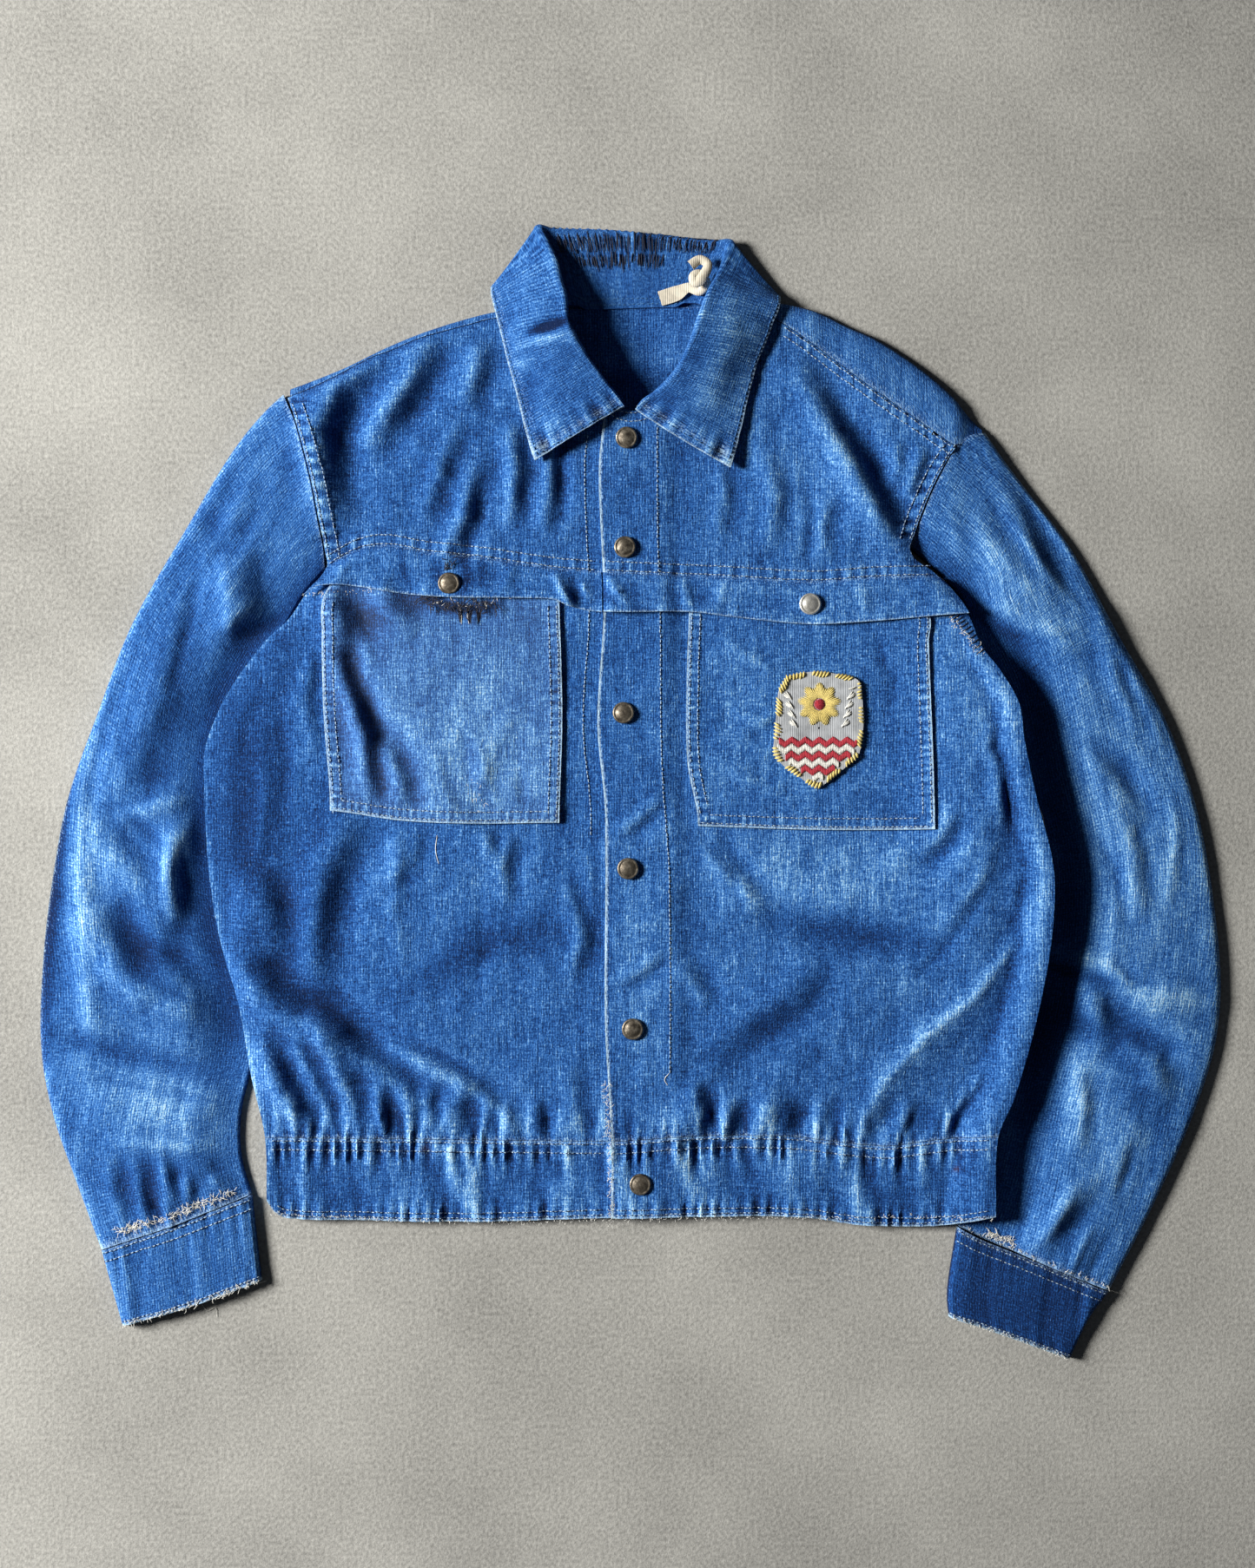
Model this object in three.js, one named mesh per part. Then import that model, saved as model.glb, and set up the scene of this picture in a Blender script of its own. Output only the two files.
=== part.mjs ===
// A worn denim work jacket laid flat on its back with its snaps closed.
// Millimetres, +Z up. +X is the viewer's right, so the wearer's left, and +Y points to the collar.
// The jacket rests on the plane Z = 0 and its plan box is centred on the origin.
import * as THREE from "three";

const CLOTH = 1.7; // one layer of denim with its seam allowances
const DOUBLED = 2.2; // a band, cuff or collar of two layers
const SEAM = 0.35; // each of two neighbours stops this far from their shared seam line
const LAP = 0.6; // clearance between a panel and what lies on it
const FRONT_LEVEL = 9.5; // usual height of the fronts' outer face
const SIDE_LEVEL = 7.6; // height of the side seams, which lie over the sleeves' inner edges
const SIDE_ROUND = 15; // width over which a front rounds down to its side seam
const SHOULDER_ROUND = 12; // width over which a front rounds down to its shoulder seam
const BACK_RISE = 5.4; // height of the back's underside where it lies over a sleeve
const RISE_WIDTH = 25; // width over which the back climbs to that height
const ARMPIT = 147; // Y of the underarm points
const NECK_RISE = 2.9; // height of the back's underside over the collar's fall
const SLEEVE_LEVEL = 10.5; // usual height of a sleeve's upper face
const SLEEVE_PRESSED = 4.1; // height of a sleeve's upper face where the body lies on it
const SLEEVE_EDGE = 1.95; // height of a sleeve's folded edges
const SLEEVE_ROUND = 9; // width of the rounded outer edge of a sleeve
const COLLAR_ROLL = 3.2; // radius of the collar's roll line
const SNAP_RADIUS = 7.1;

const lerp = (a, b, t) => a + (b - a) * t;
const clamp = (t) => Math.min(1, Math.max(0, t));
const smooth = (t) => clamp(t) ** 2 * (3 - 2 * clamp(t));

// A smooth curve through [input, output] pairs with rising inputs, level beyond its ends.
function through(pairs) {
  const slope = pairs.map((p, i) => {
    const a = pairs[Math.max(i - 1, 0)];
    const b = pairs[Math.min(i + 1, pairs.length - 1)];
    return (b[1] - a[1]) / (b[0] - a[0]);
  });
  return (input) => {
    const t = Math.min(Math.max(input, pairs[0][0]), pairs.at(-1)[0]);
    const i = Math.max(0, Math.min(pairs.length - 2, pairs.findLastIndex((p) => p[0] <= t)));
    const [t0, f0] = pairs[i];
    const [t1, f1] = pairs[i + 1];
    const h = t1 - t0;
    const k = (t - t0) / h;
    const rise = f0 * (1 + 2 * k) * (1 - k) ** 2 + f1 * k * k * (3 - 2 * k);
    return rise + h * (slope[i] * k * (1 - k) ** 2 - slope[i + 1] * k * k * (1 - k));
  };
}

// A line drawn from left to right gives y at each x, and one drawn upwards gives x at each y.
const levelLine = (points) => through(points);
const uprightLine = (points) => through(points.map(([x, y]) => [y, x]));
const shifted = (line, by) => (t) => line(t) + by;

// The body's outline and seam lines, in plan.
const bodyRightSide = uprightLine([
  [-239, -278], [-240, -227], [-249, -187], [-257, -141], [-270, -95], [-277, -50], [-280, 7],
  [-279, 30], [-265, 64], [-240, 99], [-225, 113], [-214, 129], [-200, 146], [-201, 159],
  [-205, 181], [-209, 203], [-214.5, 225], [-220, 244], [-226, 260],
]);
const bodyLeftSide = uprightLine([
  [238, -278], [239, -226], [250, -198], [264, -147], [273, -95], [274, -50], [262, 0],
  [255, 35], [252, 58], [240, 80], [229, 95], [221, 116], [214, 128], [199, 144], [186, 153],
  [183, 160], [186, 169], [190, 181], [196.5, 197], [204, 212], [213, 226], [221, 233],
  [232, 237],
]);
const chestSeam = levelLine([
  [-201, 146], [-188, 154.5], [-174, 160], [-157, 161], [-135, 157], [-97, 153],
  [-48, 146], [0, 143], [53, 141], [118, 137.5], [160, 140], [201, 141],
]);
const flapEdge = levelLine([
  [-213, 130], [-207, 135.5], [-187, 136.5], [-150, 131], [-118, 128.5], [-64, 128], [-50, 127],
  [-40, 122.5], [-18, 119], [38, 119], [64, 116], [115, 111], [160, 113], [200, 116.5],
  [221, 118],
]);
const pocketBottom = levelLine([
  [-280, -9], [-197, -12], [-150, -18.5], [-101, -20.5], [-47, -20], [44, -22], [120, -24.5],
  [198, -24], [272, -20],
]);
const waistSeam = levelLine([
  [-240, -226.5], [-150, -227.5], [-30, -229], [0, -228.5], [30, -226], [100, -225.5],
  [165, -232], [200, -228], [239, -224],
]);
const hem = levelLine([
  [-239, -268], [-234, -275], [-226, -279.5], [-180, -281], [-100, -282], [-12, -279.5],
  [110, -279], [150, -284], [200, -284.5], [239, -277],
]);
const shoulderSeam = levelLine([
  [-226, 258.5], [-212, 264], [-191, 274], [-172, 284.5], [-157, 290], [-138, 298], [-107, 306.5],
  [-88, 311], [-72, 307], [-60, 297], [-42, 279], [-22, 261], [-8, 251], [8, 251], [24, 262],
  [42, 279], [58, 297], [72, 308], [86, 312], [98, 308], [110, 300.5], [121, 292.5],
  [160, 263.5], [190, 242.5], [213, 226],
]);
const topEdge = levelLine([
  [-229, 263], [-191, 277.5], [-157, 294], [-121, 307.5], [-87, 316], [-60, 317], [0, 318.5],
  [60, 319.5], [97, 321], [121, 316], [143, 305.5], [160, 298], [180, 285.5], [198, 272],
  [213, 258], [222, 247], [232, 238],
]);

// Lines the panels' meshes follow inside the body.
const lappingEdge = uprightLine([
  [-13, -284], [-13, -226], [-17, -150], [-17, -14], [-22, 45], [-18, 120], [-21, 211],
  [-17, 252],
]);
const facingStitch = uprightLine([
  [25, -284], [25, -60], [20, 20], [19, 117], [17.5, 160], [17, 252],
]);
const rightPocketOuter = uprightLine([
  [-203, -284], [-197, -12], [-201.5, 55], [-202, 103], [-200, 130], [-178, 158],
]);
const rightPocketInner = uprightLine([
  [-49, -284], [-47, -20], [-45, 50], [-47, 127], [-47, 150],
]);
const leftPocketInner = uprightLine([
  [46, -284], [44, -21], [37, 20], [36.5, 74], [38, 118], [38, 150],
]);
const leftPocketOuter = uprightLine([
  [203, -284], [198, -24], [196, 50], [194.5, 98], [195, 116], [176, 145],
]);

// The sleeves' inner edges. Below the underarm they are tucked under the body.
const rightSleeveInner = uprightLine([
  [-243, -290], [-249.5, -265], [-256, -240], [-257, -225], [-255, -207], [-250, -187],
  [-246, -170], [-245, -141], [-257, -95], [-262.5, -50], [-265.5, 0], [-262, 40], [-246, 75],
  [-236, 95], [-225, 112], [-214, 130], [-200.5, 145.5],
]);
const leftSleeveInner = uprightLine([
  [214, -286], [218, -275], [227, -240], [236, -198], [250, -147], [259, -95], [260, -50],
  [249, 0], [243, 35], [239, 58], [230, 80], [223, 100], [221, 116], [214, 129], [200, 145],
  [184, 160],
]);

// Folds: height of the ridge (negative in a hollow), half-width, and the line it follows.
const FRONT_FOLDS = [
  [-5, 11, [[-196, -45], [-201, -75], [-203, -105], [-202, -132]]],
  [4, 12, [[-255, -60], [-250, -90], [-240, -120]]],
  [-5, 11, [[-248, -112], [-228, -132], [-200, -146], [-182, -165], [-178, -184]]],
  [4, 8, [[-254, -166], [-240, -186], [-225, -206], [-212, -224]]],
  [4, 8, [[-208, -150], [-198, -172], [-187, -197], [-178, -224]]],
  [5, 10, [[-160, -152], [-128, -175], [-90, -191], [-64, -222]]],
  [-5, 8, [[-168, -168], [-152, -190], [-143, -208], [-141, -226]]],
  [-4, 6, [[-102, -196], [-110, -210], [-108, -226]]],
  [3, 6, [[-134, -198], [-128, -226]]],
  [-4, 7, [[-38, -62], [-32, -85], [-29, -98], [-36, -122]]],
  [-3, 6, [[-33, -180], [-35, -200], [-31, -218]]],
  [3, 7, [[41, -190], [37, -208], [34, -226]]],
  [-3, 6, [[54, -188], [48, -205], [45, -226]]],
  [-3, 12, [[66, -38], [80, -58], [98, -80]]],
  [-3, 13, [[92, -84], [140, -93], [200, -103]]],
  [-3, 14, [[122, -138], [92, -157], [68, -172], [50, -190]]],
  [3.5, 13, [[262, -84], [226, -134], [194, -160], [165, -191], [154, -214]]],
  [-3, 7, [[118, -202], [114, -226]]],
  [3, 8, [[90, -196], [82, -226]]],
  [-3, 7, [[172, -205], [160, -228]]],
  [-5, 9, [[244, 4], [249, -24], [260, -50], [252, -76]]],
  [-2.5, 9, [[216, -24], [200, -42], [186, -52]]],
  [5.5, 12, [[118, 280], [134, 244], [151, 205], [169, 171], [186, 152]]],
  [-5, 9, [[141, 268], [156, 236], [172, 205], [182, 178]]],
  [3, 14, [[-76, 296], [-100, 250], [-140, 215], [-176, 196]]],
  [-3, 13, [[-110, 292], [-130, 256], [-160, 232]]],
  [-3, 9, [[-196, 100], [-190, 60], [-186, 20]]],
  [2.5, 12, [[-140, 10], [-120, -14], [-90, -40]]],
];
// Swells: added height, centre, and reach along X and Y.
const FRONT_SWELLS = [
  [12.5, [224, 14], [40, 105]],
  [3.5, [150, -130], [90, 80]],
  [2.5, [-150, 60], [70, 90]],
  [3, [0, 262], [80, 30]],
  [3, [150, 190], [60, 50]],
  [-2.5, [0, -262], [260, 34]],
];
const RIGHT_SLEEVE_FOLDS = [
  [-5.5, 13, [[-297, 105], [-305, 68], [-318, 26], [-328, -4]]],
  [5, 10, [[-257, 158], [-263, 125], [-268, 92], [-283, 62]]],
  [-5, 12, [[-243, 142], [-240, 116], [-234, 106]]],
  [4, 9, [[-330, -14], [-305, -5], [-284, -3]]],
  [5, 10, [[-284, -14], [-294, -34], [-301, -56], [-299, -78]]],
  [3.5, 9, [[-362, -10], [-361, -60], [-360, -112], [-354, -150]]],
  [-5, 14, [[-344, -76], [-334, -96], [-320, -112]]],
  [3.5, 11, [[-342, -120], [-318, -132], [-290, -142], [-264, -156]]],
  [-3, 10, [[-372, -160], [-340, -170], [-300, -179], [-264, -188]]],
  [-3.5, 6, [[-302, -240], [-294, -262], [-286, -280]]],
  [-4.5, 7, [[-282, -258], [-268, -254], [-256, -260]]],
  [-3.5, 9, [[-306, 178], [-290, 196], [-274, 206]]],
];
const LEFT_SLEEVE_FOLDS = [
  [-4.5, 7, [[240, 206], [260, 172], [276, 142], [286, 128]]],
  [-4.5, 8, [[298, 112], [316, 84], [328, 56], [338, 42]]],
  [4, 9, [[308, 116], [330, 76], [346, 40]]],
  [3.5, 14, [[214, 196], [232, 162], [262, 136], [292, 116]]],
  [-5, 12, [[206, 152], [222, 128], [236, 112]]],
  [3.5, 10, [[234, 110], [264, 100], [300, 104]]],
  [-3, 9, [[306, 30], [326, 8], [340, -16]]],
  [5, 8, [[270, -100], [296, -110], [322, -123]]],
  [4, 9, [[318, -126], [350, -134], [380, -138]]],
  [-5, 12, [[276, -150], [312, -156], [348, -168]]],
  [-3, 7, [[320, -230], [332, -260]]],
  [-5, 8, [[304, -264], [288, -286], [276, -304]]],
  [3.5, 7, [[288, -262], [264, -298]]],
];

// The height that a list of folds adds at a point. Each fold fades out beyond its ends.
function folded(folds, x, y) {
  let height = 0;
  for (const [ridge, width, line] of folds) {
    let nearest = Infinity;
    for (let i = 1; i < line.length; i++) {
      const [ax, ay] = line[i - 1];
      const [bx, by] = line[i];
      const along = ((x - ax) * (bx - ax) + (y - ay) * (by - ay)) / ((bx - ax) ** 2 + (by - ay) ** 2);
      const t = clamp(along);
      nearest = Math.min(nearest, (x - lerp(ax, bx, t)) ** 2 + (y - lerp(ay, by, t)) ** 2);
    }
    height += ridge * Math.exp(-nearest / width ** 2);
  }
  return height;
}

function swollen(swells, x, y) {
  let height = 0;
  for (const [rise, [cx, cy], [rx, ry]] of swells) {
    height += rise * Math.exp(-(((x - cx) / rx) ** 2) - ((y - cy) / ry) ** 2);
  }
  return height;
}

// The underside of the back: flat on the floor, raised over the sleeves' edges and the collar.
function backHeight(x, y) {
  const fromRight = (rightSleeveInner(Math.min(y, 112)) + 3 + RISE_WIDTH - x) / RISE_WIDTH;
  const fromLeft = (x - leftSleeveInner(Math.min(y, 112)) + 3 + RISE_WIDTH) / RISE_WIDTH;
  const overSleeve = smooth(Math.max(fromRight, fromLeft)) * smooth((ARMPIT - y) / 17);
  const overCollar = smooth((y - 268) / 20) * smooth((112 - Math.abs(x)) / 20);
  return BACK_RISE * overSleeve + NECK_RISE * overCollar;
}

// The outer face of the fronts.
function frontHeight(x, y) {
  const free = FRONT_LEVEL + swollen(FRONT_SWELLS, x, y) + folded(FRONT_FOLDS, x, y);
  const least = backHeight(x, y) + 2 * CLOTH + 1.2;
  const open = Math.max(free, least);
  const side = Math.min(x - bodyRightSide(y), bodyLeftSide(y) - x);
  const besideArm = smooth((y - ARMPIT + 10) / 24);
  const sideRound = lerp(Math.sin(clamp(side / SIDE_ROUND) * Math.PI / 2), 1, besideArm);
  const edge = SIDE_LEVEL + CLOTH;
  const sided = edge + (open - edge) * sideRound;
  const fromShoulder = (topEdge(x) - y + 60 * smooth((84 - Math.abs(x)) / 18)) / SHOULDER_ROUND;
  return lerp(7.2, sided, Math.sin(clamp(fromShoulder) * Math.PI / 2));
}

// The left front is lifted by the right front's edge as far as the facing's stitch line.
const lapping = (x, y) => 1 - smooth((x - facingStitch(y)) / 16);
const overFrontHeight = (x, y) => frontHeight(x, y) + (CLOTH + LAP) * lapping(x, y);
const overBandHeight = (x, y) => frontHeight(x, y) + (DOUBLED + LAP) * lapping(x, y);

// Points where the columns' upright lines cross the rows' level lines, row by row.
function net(columns, rows) {
  return rows.map((row) => columns.map((column) => {
    let y = row(column(0));
    let x = column(y);
    for (let pass = 0; pass < 12; pass++) {
      y = lerp(y, row(x), 0.7);
      x = column(y);
    }
    return [x, y];
  }));
}

// Lines blended between neighbouring guide lines, with a number of steps in each gap.
function spread(guides, steps) {
  const lines = [guides[0]];
  steps.forEach((count, i) => {
    for (let k = 1; k <= count; k++) {
      lines.push((t) => lerp(guides[i](t), guides[i + 1](t), k / count));
    }
  });
  return lines;
}

const part = (points, rows, columns) => points.slice(rows[0], rows[1] + 1)
  .map((row) => row.slice(columns[0], columns[1] + 1));

// A closed wall between an outer and an inner grid of points, outer seen with rows going up.
function wall(outer, inner, closed = false) {
  const rows = outer.length;
  const columns = outer[0].length;
  const positions = [...outer.flat(), ...inner.flat()].flat();
  const at = (j, i, layer) => layer * rows * columns + j * columns + (i % columns);
  const index = [];
  const quad = (a, b, c, d) => index.push(a, b, c, a, c, d);
  for (let j = 0; j + 1 < rows; j++) {
    for (let i = 0; i + 1 < columns + (closed ? 1 : 0); i++) {
      quad(at(j, i, 0), at(j, i + 1, 0), at(j + 1, i + 1, 0), at(j + 1, i, 0));
      quad(at(j, i, 1), at(j + 1, i, 1), at(j + 1, i + 1, 1), at(j, i + 1, 1));
    }
    if (!closed) {
      quad(at(j, 0, 1), at(j, 0, 0), at(j + 1, 0, 0), at(j + 1, 0, 1));
      quad(at(j, columns - 1, 0), at(j, columns - 1, 1), at(j + 1, columns - 1, 1),
        at(j + 1, columns - 1, 0));
    }
  }
  for (let i = 0; i + 1 < columns + (closed ? 1 : 0); i++) {
    quad(at(0, i, 1), at(0, i + 1, 1), at(0, i + 1, 0), at(0, i, 0));
    quad(at(rows - 1, i, 0), at(rows - 1, i + 1, 0), at(rows - 1, i + 1, 1), at(rows - 1, i, 1));
  }
  const geometry = new THREE.BufferGeometry();
  geometry.setAttribute("position", new THREE.Float32BufferAttribute(positions, 3));
  geometry.setIndex(index);
  geometry.computeVertexNormals();
  return geometry;
}

// A panel whose outer face is the height function over a net, raised by lift(row, column).
function panel(points, height, thickness, lift = () => 0) {
  const outer = points.map((row, j) => row.map(([x, y]) => [x, y, height(x, y) + lift(j)]));
  if (points[0][0][1] > points.at(-1)[0][1]) outer.reverse();
  const inner = outer.map((row) => row.map(([x, y, z]) => [x, y, z - thickness]));
  return wall(outer, inner);
}

const jacket = new THREE.Group();
const denim = (color) => new THREE.MeshStandardMaterial({ color, roughness: 0.92, metalness: 0 });
const brass = new THREE.MeshStandardMaterial({ color: 0x8d8068, roughness: 0.42, metalness: 0.85 });

function add(name, geometry, material) {
  const mesh = new THREE.Mesh(geometry, material);
  mesh.name = name;
  jacket.add(mesh);
  return mesh;
}

// Fronts, flap strips and pockets share one net on each side of the lapping edge.
const LOWER_ROWS = [2, 9, 12];
const lowerRows = spread(
  [shifted(chestSeam, -2 * SEAM), flapEdge, pocketBottom, shifted(waistSeam, SEAM)], LOWER_ROWS);
const upperRows = spread([shifted(chestSeam, SEAM), shifted(shoulderSeam, -SEAM)], [8]);
const bandRows = spread([shifted(waistSeam, -SEAM), hem], [3]);
const POCKET_COLUMNS = 8;
const rightColumns = spread(
  [bodyRightSide, rightPocketOuter, rightPocketInner, lappingEdge, facingStitch],
  [4, POCKET_COLUMNS, 2, 2]);
const leftColumns = spread(
  [lappingEdge, facingStitch, leftPocketInner, leftPocketOuter, bodyLeftSide],
  [2, 1, POCKET_COLUMNS, 4]);
const rightUpperColumns = spread(
  [shifted(bodyRightSide, 0.5), lappingEdge, facingStitch], [12, 2]);
const leftUpperColumns = spread(
  [lappingEdge, facingStitch, shifted(bodyLeftSide, -0.5)], [2, 12]);

function front(side, columns, upperColumns, height, bandHeight, pocketColumns, flapColumns, colors) {
  const lower = net(columns, lowerRows);
  add(`front_${side}_upper`, panel(net(upperColumns, upperRows), height, CLOTH), denim(colors[0]));
  add(`front_${side}_lower`, panel(lower, height, CLOTH), denim(colors[1]));
  const onFront = CLOTH + LAP;
  const lastPocketRow = LOWER_ROWS[0] + LOWER_ROWS[1];
  add(`pocket_${side}`, panel(part(lower, [1, lastPocketRow], pocketColumns), height, CLOTH,
    () => onFront), denim(colors[2]));
  const flapNet = part(lower, [0, LOWER_ROWS[0]], flapColumns)
    .map((row, j) => row.map(([x, y]) => [x, j === 2 ? y - 1 : y]));
  add(`flap_${side}`, panel(flapNet, height, CLOTH, (j) => onFront * (j === 0 ? 1 : 2)),
    denim(colors[0]));
  add(`band_front_${side}`, panel(net(columns, bandRows), bandHeight, DOUBLED), denim(colors[3]));
}
front("right", rightColumns, rightUpperColumns, frontHeight, frontHeight, [4, 4 + POCKET_COLUMNS],
  [0, 6 + POCKET_COLUMNS - 1], [0x46648f, 0x3c5c8c, 0x4d6890, 0x5a7ca6]);
front("left", leftColumns, leftUpperColumns, overFrontHeight, overBandHeight, [3, 3 + POCKET_COLUMNS],
  [0, 7 + POCKET_COLUMNS], [0x4a6ca0, 0x4470ac, 0x4a6da3, 0x5a7ca6]);

// The back: a flat field, then a turn over each shoulder up to the shoulder seams.
const TURN_STEPS = 4;
const underarms = levelLine([[-201, 146], [184, 160]]);
function backPoints(columns) {
  const fieldTop = shifted(topEdge, -8);
  const field = net(columns, spread([shifted(waistSeam, SEAM), underarms, fieldTop], [11, 5]));
  const rows = field.map((row) => row.map(([x, y]) => [x, y, backHeight(x, y)]));
  for (let k = 1; k <= TURN_STEPS; k++) {
    const angle = (k / TURN_STEPS - 0.5) * Math.PI;
    rows.push(field.at(-1).map(([x]) => {
      const top = topEdge(x);
      const pastSeam = Math.max(0, x - 213);
      const seam = shoulderSeam(x) + pastSeam + 2 * SEAM;
      const seamHeight = frontHeight(x, seam);
      const flat = smooth((84 - Math.abs(x)) / 18);
      const depth = angle < 0 ? 4 : top - seam;
      const base = backHeight(x, top - 4);
      const turnY = top - depth * (1 - Math.cos(angle));
      const turnZ = lerp(base, seamHeight, (1 + Math.sin(angle)) / 2);
      const flatY = top - 8 + 8 * k / TURN_STEPS;
      return [x, lerp(turnY, flatY, flat), lerp(turnZ, base, flat)];
    }));
  }
  return rows;
}

// Moves each point of a grid along its normal, taken from its neighbours.
function movedIn(points, distance) {
  const vector = (p) => new THREE.Vector3(...p);
  return points.map((row, j) => row.map((point, i) => {
    const across = vector(row[Math.min(i + 1, row.length - 1)]).sub(vector(row[Math.max(i - 1, 0)]));
    const up = vector(points[Math.min(j + 1, points.length - 1)][i])
      .sub(vector(points[Math.max(j - 1, 0)][i]));
    return vector(point).addScaledVector(across.cross(up).normalize(), distance).toArray();
  }));
}
const backColumns = spread([
  shifted(bodyRightSide, 1.2),
  (y) => Math.max(shifted(bodyRightSide, 6)(y), shifted(rightSleeveInner, 3)(Math.min(y, 112))),
  (y) => Math.max(shifted(bodyRightSide, 26)(y), shifted(rightSleeveInner, 28)(Math.min(y, 112))),
  (y) => Math.min(shifted(bodyLeftSide, -26)(y), shifted(leftSleeveInner, -28)(Math.min(y, 112))),
  (y) => Math.min(shifted(bodyLeftSide, -6)(y), shifted(leftSleeveInner, -3)(Math.min(y, 112))),
  shifted(bodyLeftSide, -1.2),
], [1, 2, 16, 2, 1]);
const turned = (grid) => grid.map((row) => [...row].reverse());
const backFace = backPoints(backColumns);
const backInside = movedIn(backFace, CLOTH);
backInside[backInside.length - 1] = backFace.at(-1).map(([x, y, z], i) => (
  Math.abs(x) < 84 ? backInside.at(-1)[i] : [x, y, z - CLOTH]));
add("back", wall(turned(backFace), turned(backInside)), denim(0x3f5f92));

const bandBack = net(backColumns, [...bandRows].reverse())
  .map((row) => row.map(([x, y]) => [x, y, backHeight(x, y)]));
add("band_back", wall(turned(bandBack), turned(movedIn(bandBack, CLOTH))), denim(0x5a7ca6));

// Sleeves and cuffs are flattened tubes over a four-sided plan patch.
const planCurve = (points) => new THREE.CatmullRomCurve3(
  points.map(([x, y]) => new THREE.Vector3(x, y, 0)), false, "centripetal");

function planPatch(start, end, inner, outer) {
  const curves = [start, end, inner, outer].map(planCurve);
  const [s, e, i, o] = curves.map((curve) => (t) => curve.getPointAt(clamp(t)));
  return (u, v) => {
    const sum = s(u).multiplyScalar(1 - v).addScaledVector(e(u), v)
      .addScaledVector(i(v), 1 - u).addScaledVector(o(v), u);
    return sum.addScaledVector(s(0), -(1 - u) * (1 - v)).addScaledVector(s(1), -u * (1 - v))
      .addScaledVector(e(0), -(1 - u) * v).addScaledVector(e(1), -u * v);
  };
}

function flatTube(patch, height, halfRing, steps, thickness) {
  const outer = [];
  const inner = [];
  for (let j = 0; j <= steps; j++) {
    const v = j / steps;
    const width = patch(0, v).distanceTo(patch(1, v));
    const outerRing = [];
    const innerRing = [];
    for (let i = 0; i < 2 * halfRing; i++) {
      const turn = Math.PI * i / halfRing;
      const u = (1 - Math.cos(turn)) / 2;
      const isEdge = i % halfRing === 0;
      const isTop = i > 0 && i < halfRing;
      const out = patch(u, v);
      const within = patch(u + thickness * 1.15 * Math.cos(turn) / width, v);
      const top = height(out.x, out.y, u * width, (1 - u) * width, v);
      const outerZ = isEdge ? SLEEVE_EDGE : isTop ? top : 0;
      const innerZ = isEdge ? SLEEVE_EDGE : isTop ? top - thickness : thickness;
      outerRing.push([out.x, out.y, outerZ]);
      innerRing.push([within.x, within.y, innerZ]);
    }
    outer.push(outerRing);
    inner.push(innerRing);
  }
  return [outer, inner];
}

// A sleeve's upper face: pressed flat under the body, rounded at its outer edge, and level
// with the front at the armhole.
function sleeveHeight(folds, pressedWidth) {
  return (x, y, fromInner, fromOuter, v) => {
    const fold = SLEEVE_LEVEL + folded(folds, x, y);
    const lifted = smooth((fromInner - pressedWidth(y)) / 34);
    const rounded = Math.sqrt(1 - (1 - clamp(fromOuter / SLEEVE_ROUND)) ** 2);
    const own = SLEEVE_PRESSED + Math.max(0, fold - SLEEVE_PRESSED) * lifted * rounded;
    const atArmhole = Math.max(SLEEVE_PRESSED, lerp(SLEEVE_PRESSED, frontHeight(x, y),
      Math.sqrt(clamp(fromInner / 26)) * rounded));
    return lerp(atArmhole, own, smooth(v / 0.13));
  };
}

const HALF_RING = 8;
const SLEEVE_STEPS = 25;
const CUFF_STEPS = 3;
const ring = (points) => points.map((row) => [...row].reverse());

function sleeve(side, outlines, folds, pressedWidth, mirror) {
  const height = sleeveHeight(folds, pressedWidth);
  const turn = (grid) => (mirror ? ring(grid) : grid);
  const arm = planPatch(outlines.armhole, outlines.cuffSeam, outlines.inner, outlines.outer);
  const [outer, inner] = flatTube(arm, height, HALF_RING, SLEEVE_STEPS, CLOTH);
  add(`sleeve_${side}`, wall(turn(outer), turn(inner)), denim(0x4a6ea6));
  const cuff = planPatch(outlines.cuffTop, outlines.cuffEnd, outlines.cuffInner,
    outlines.cuffOuter);
  const cuffHeight = (x, y, fromInner, fromOuter) => {
    const edge = Math.min(fromInner, fromOuter);
    const rounded = Math.sqrt(1 - (1 - clamp(edge / SLEEVE_ROUND)) ** 2);
    const gather = folded(folds, x, y);
    return 5.2 + (3.6 + 0.6 * gather) * rounded;
  };
  const [cuffOut, cuffIn] = flatTube(cuff, cuffHeight, HALF_RING, CUFF_STEPS, DOUBLED);
  add(`cuff_${side}`, wall(turn(cuffOut), turn(cuffIn)), denim(0x3f649f));
}
const drop = (points, by) => points.map(([x, y]) => [x + by[0], y + by[1]]);

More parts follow.
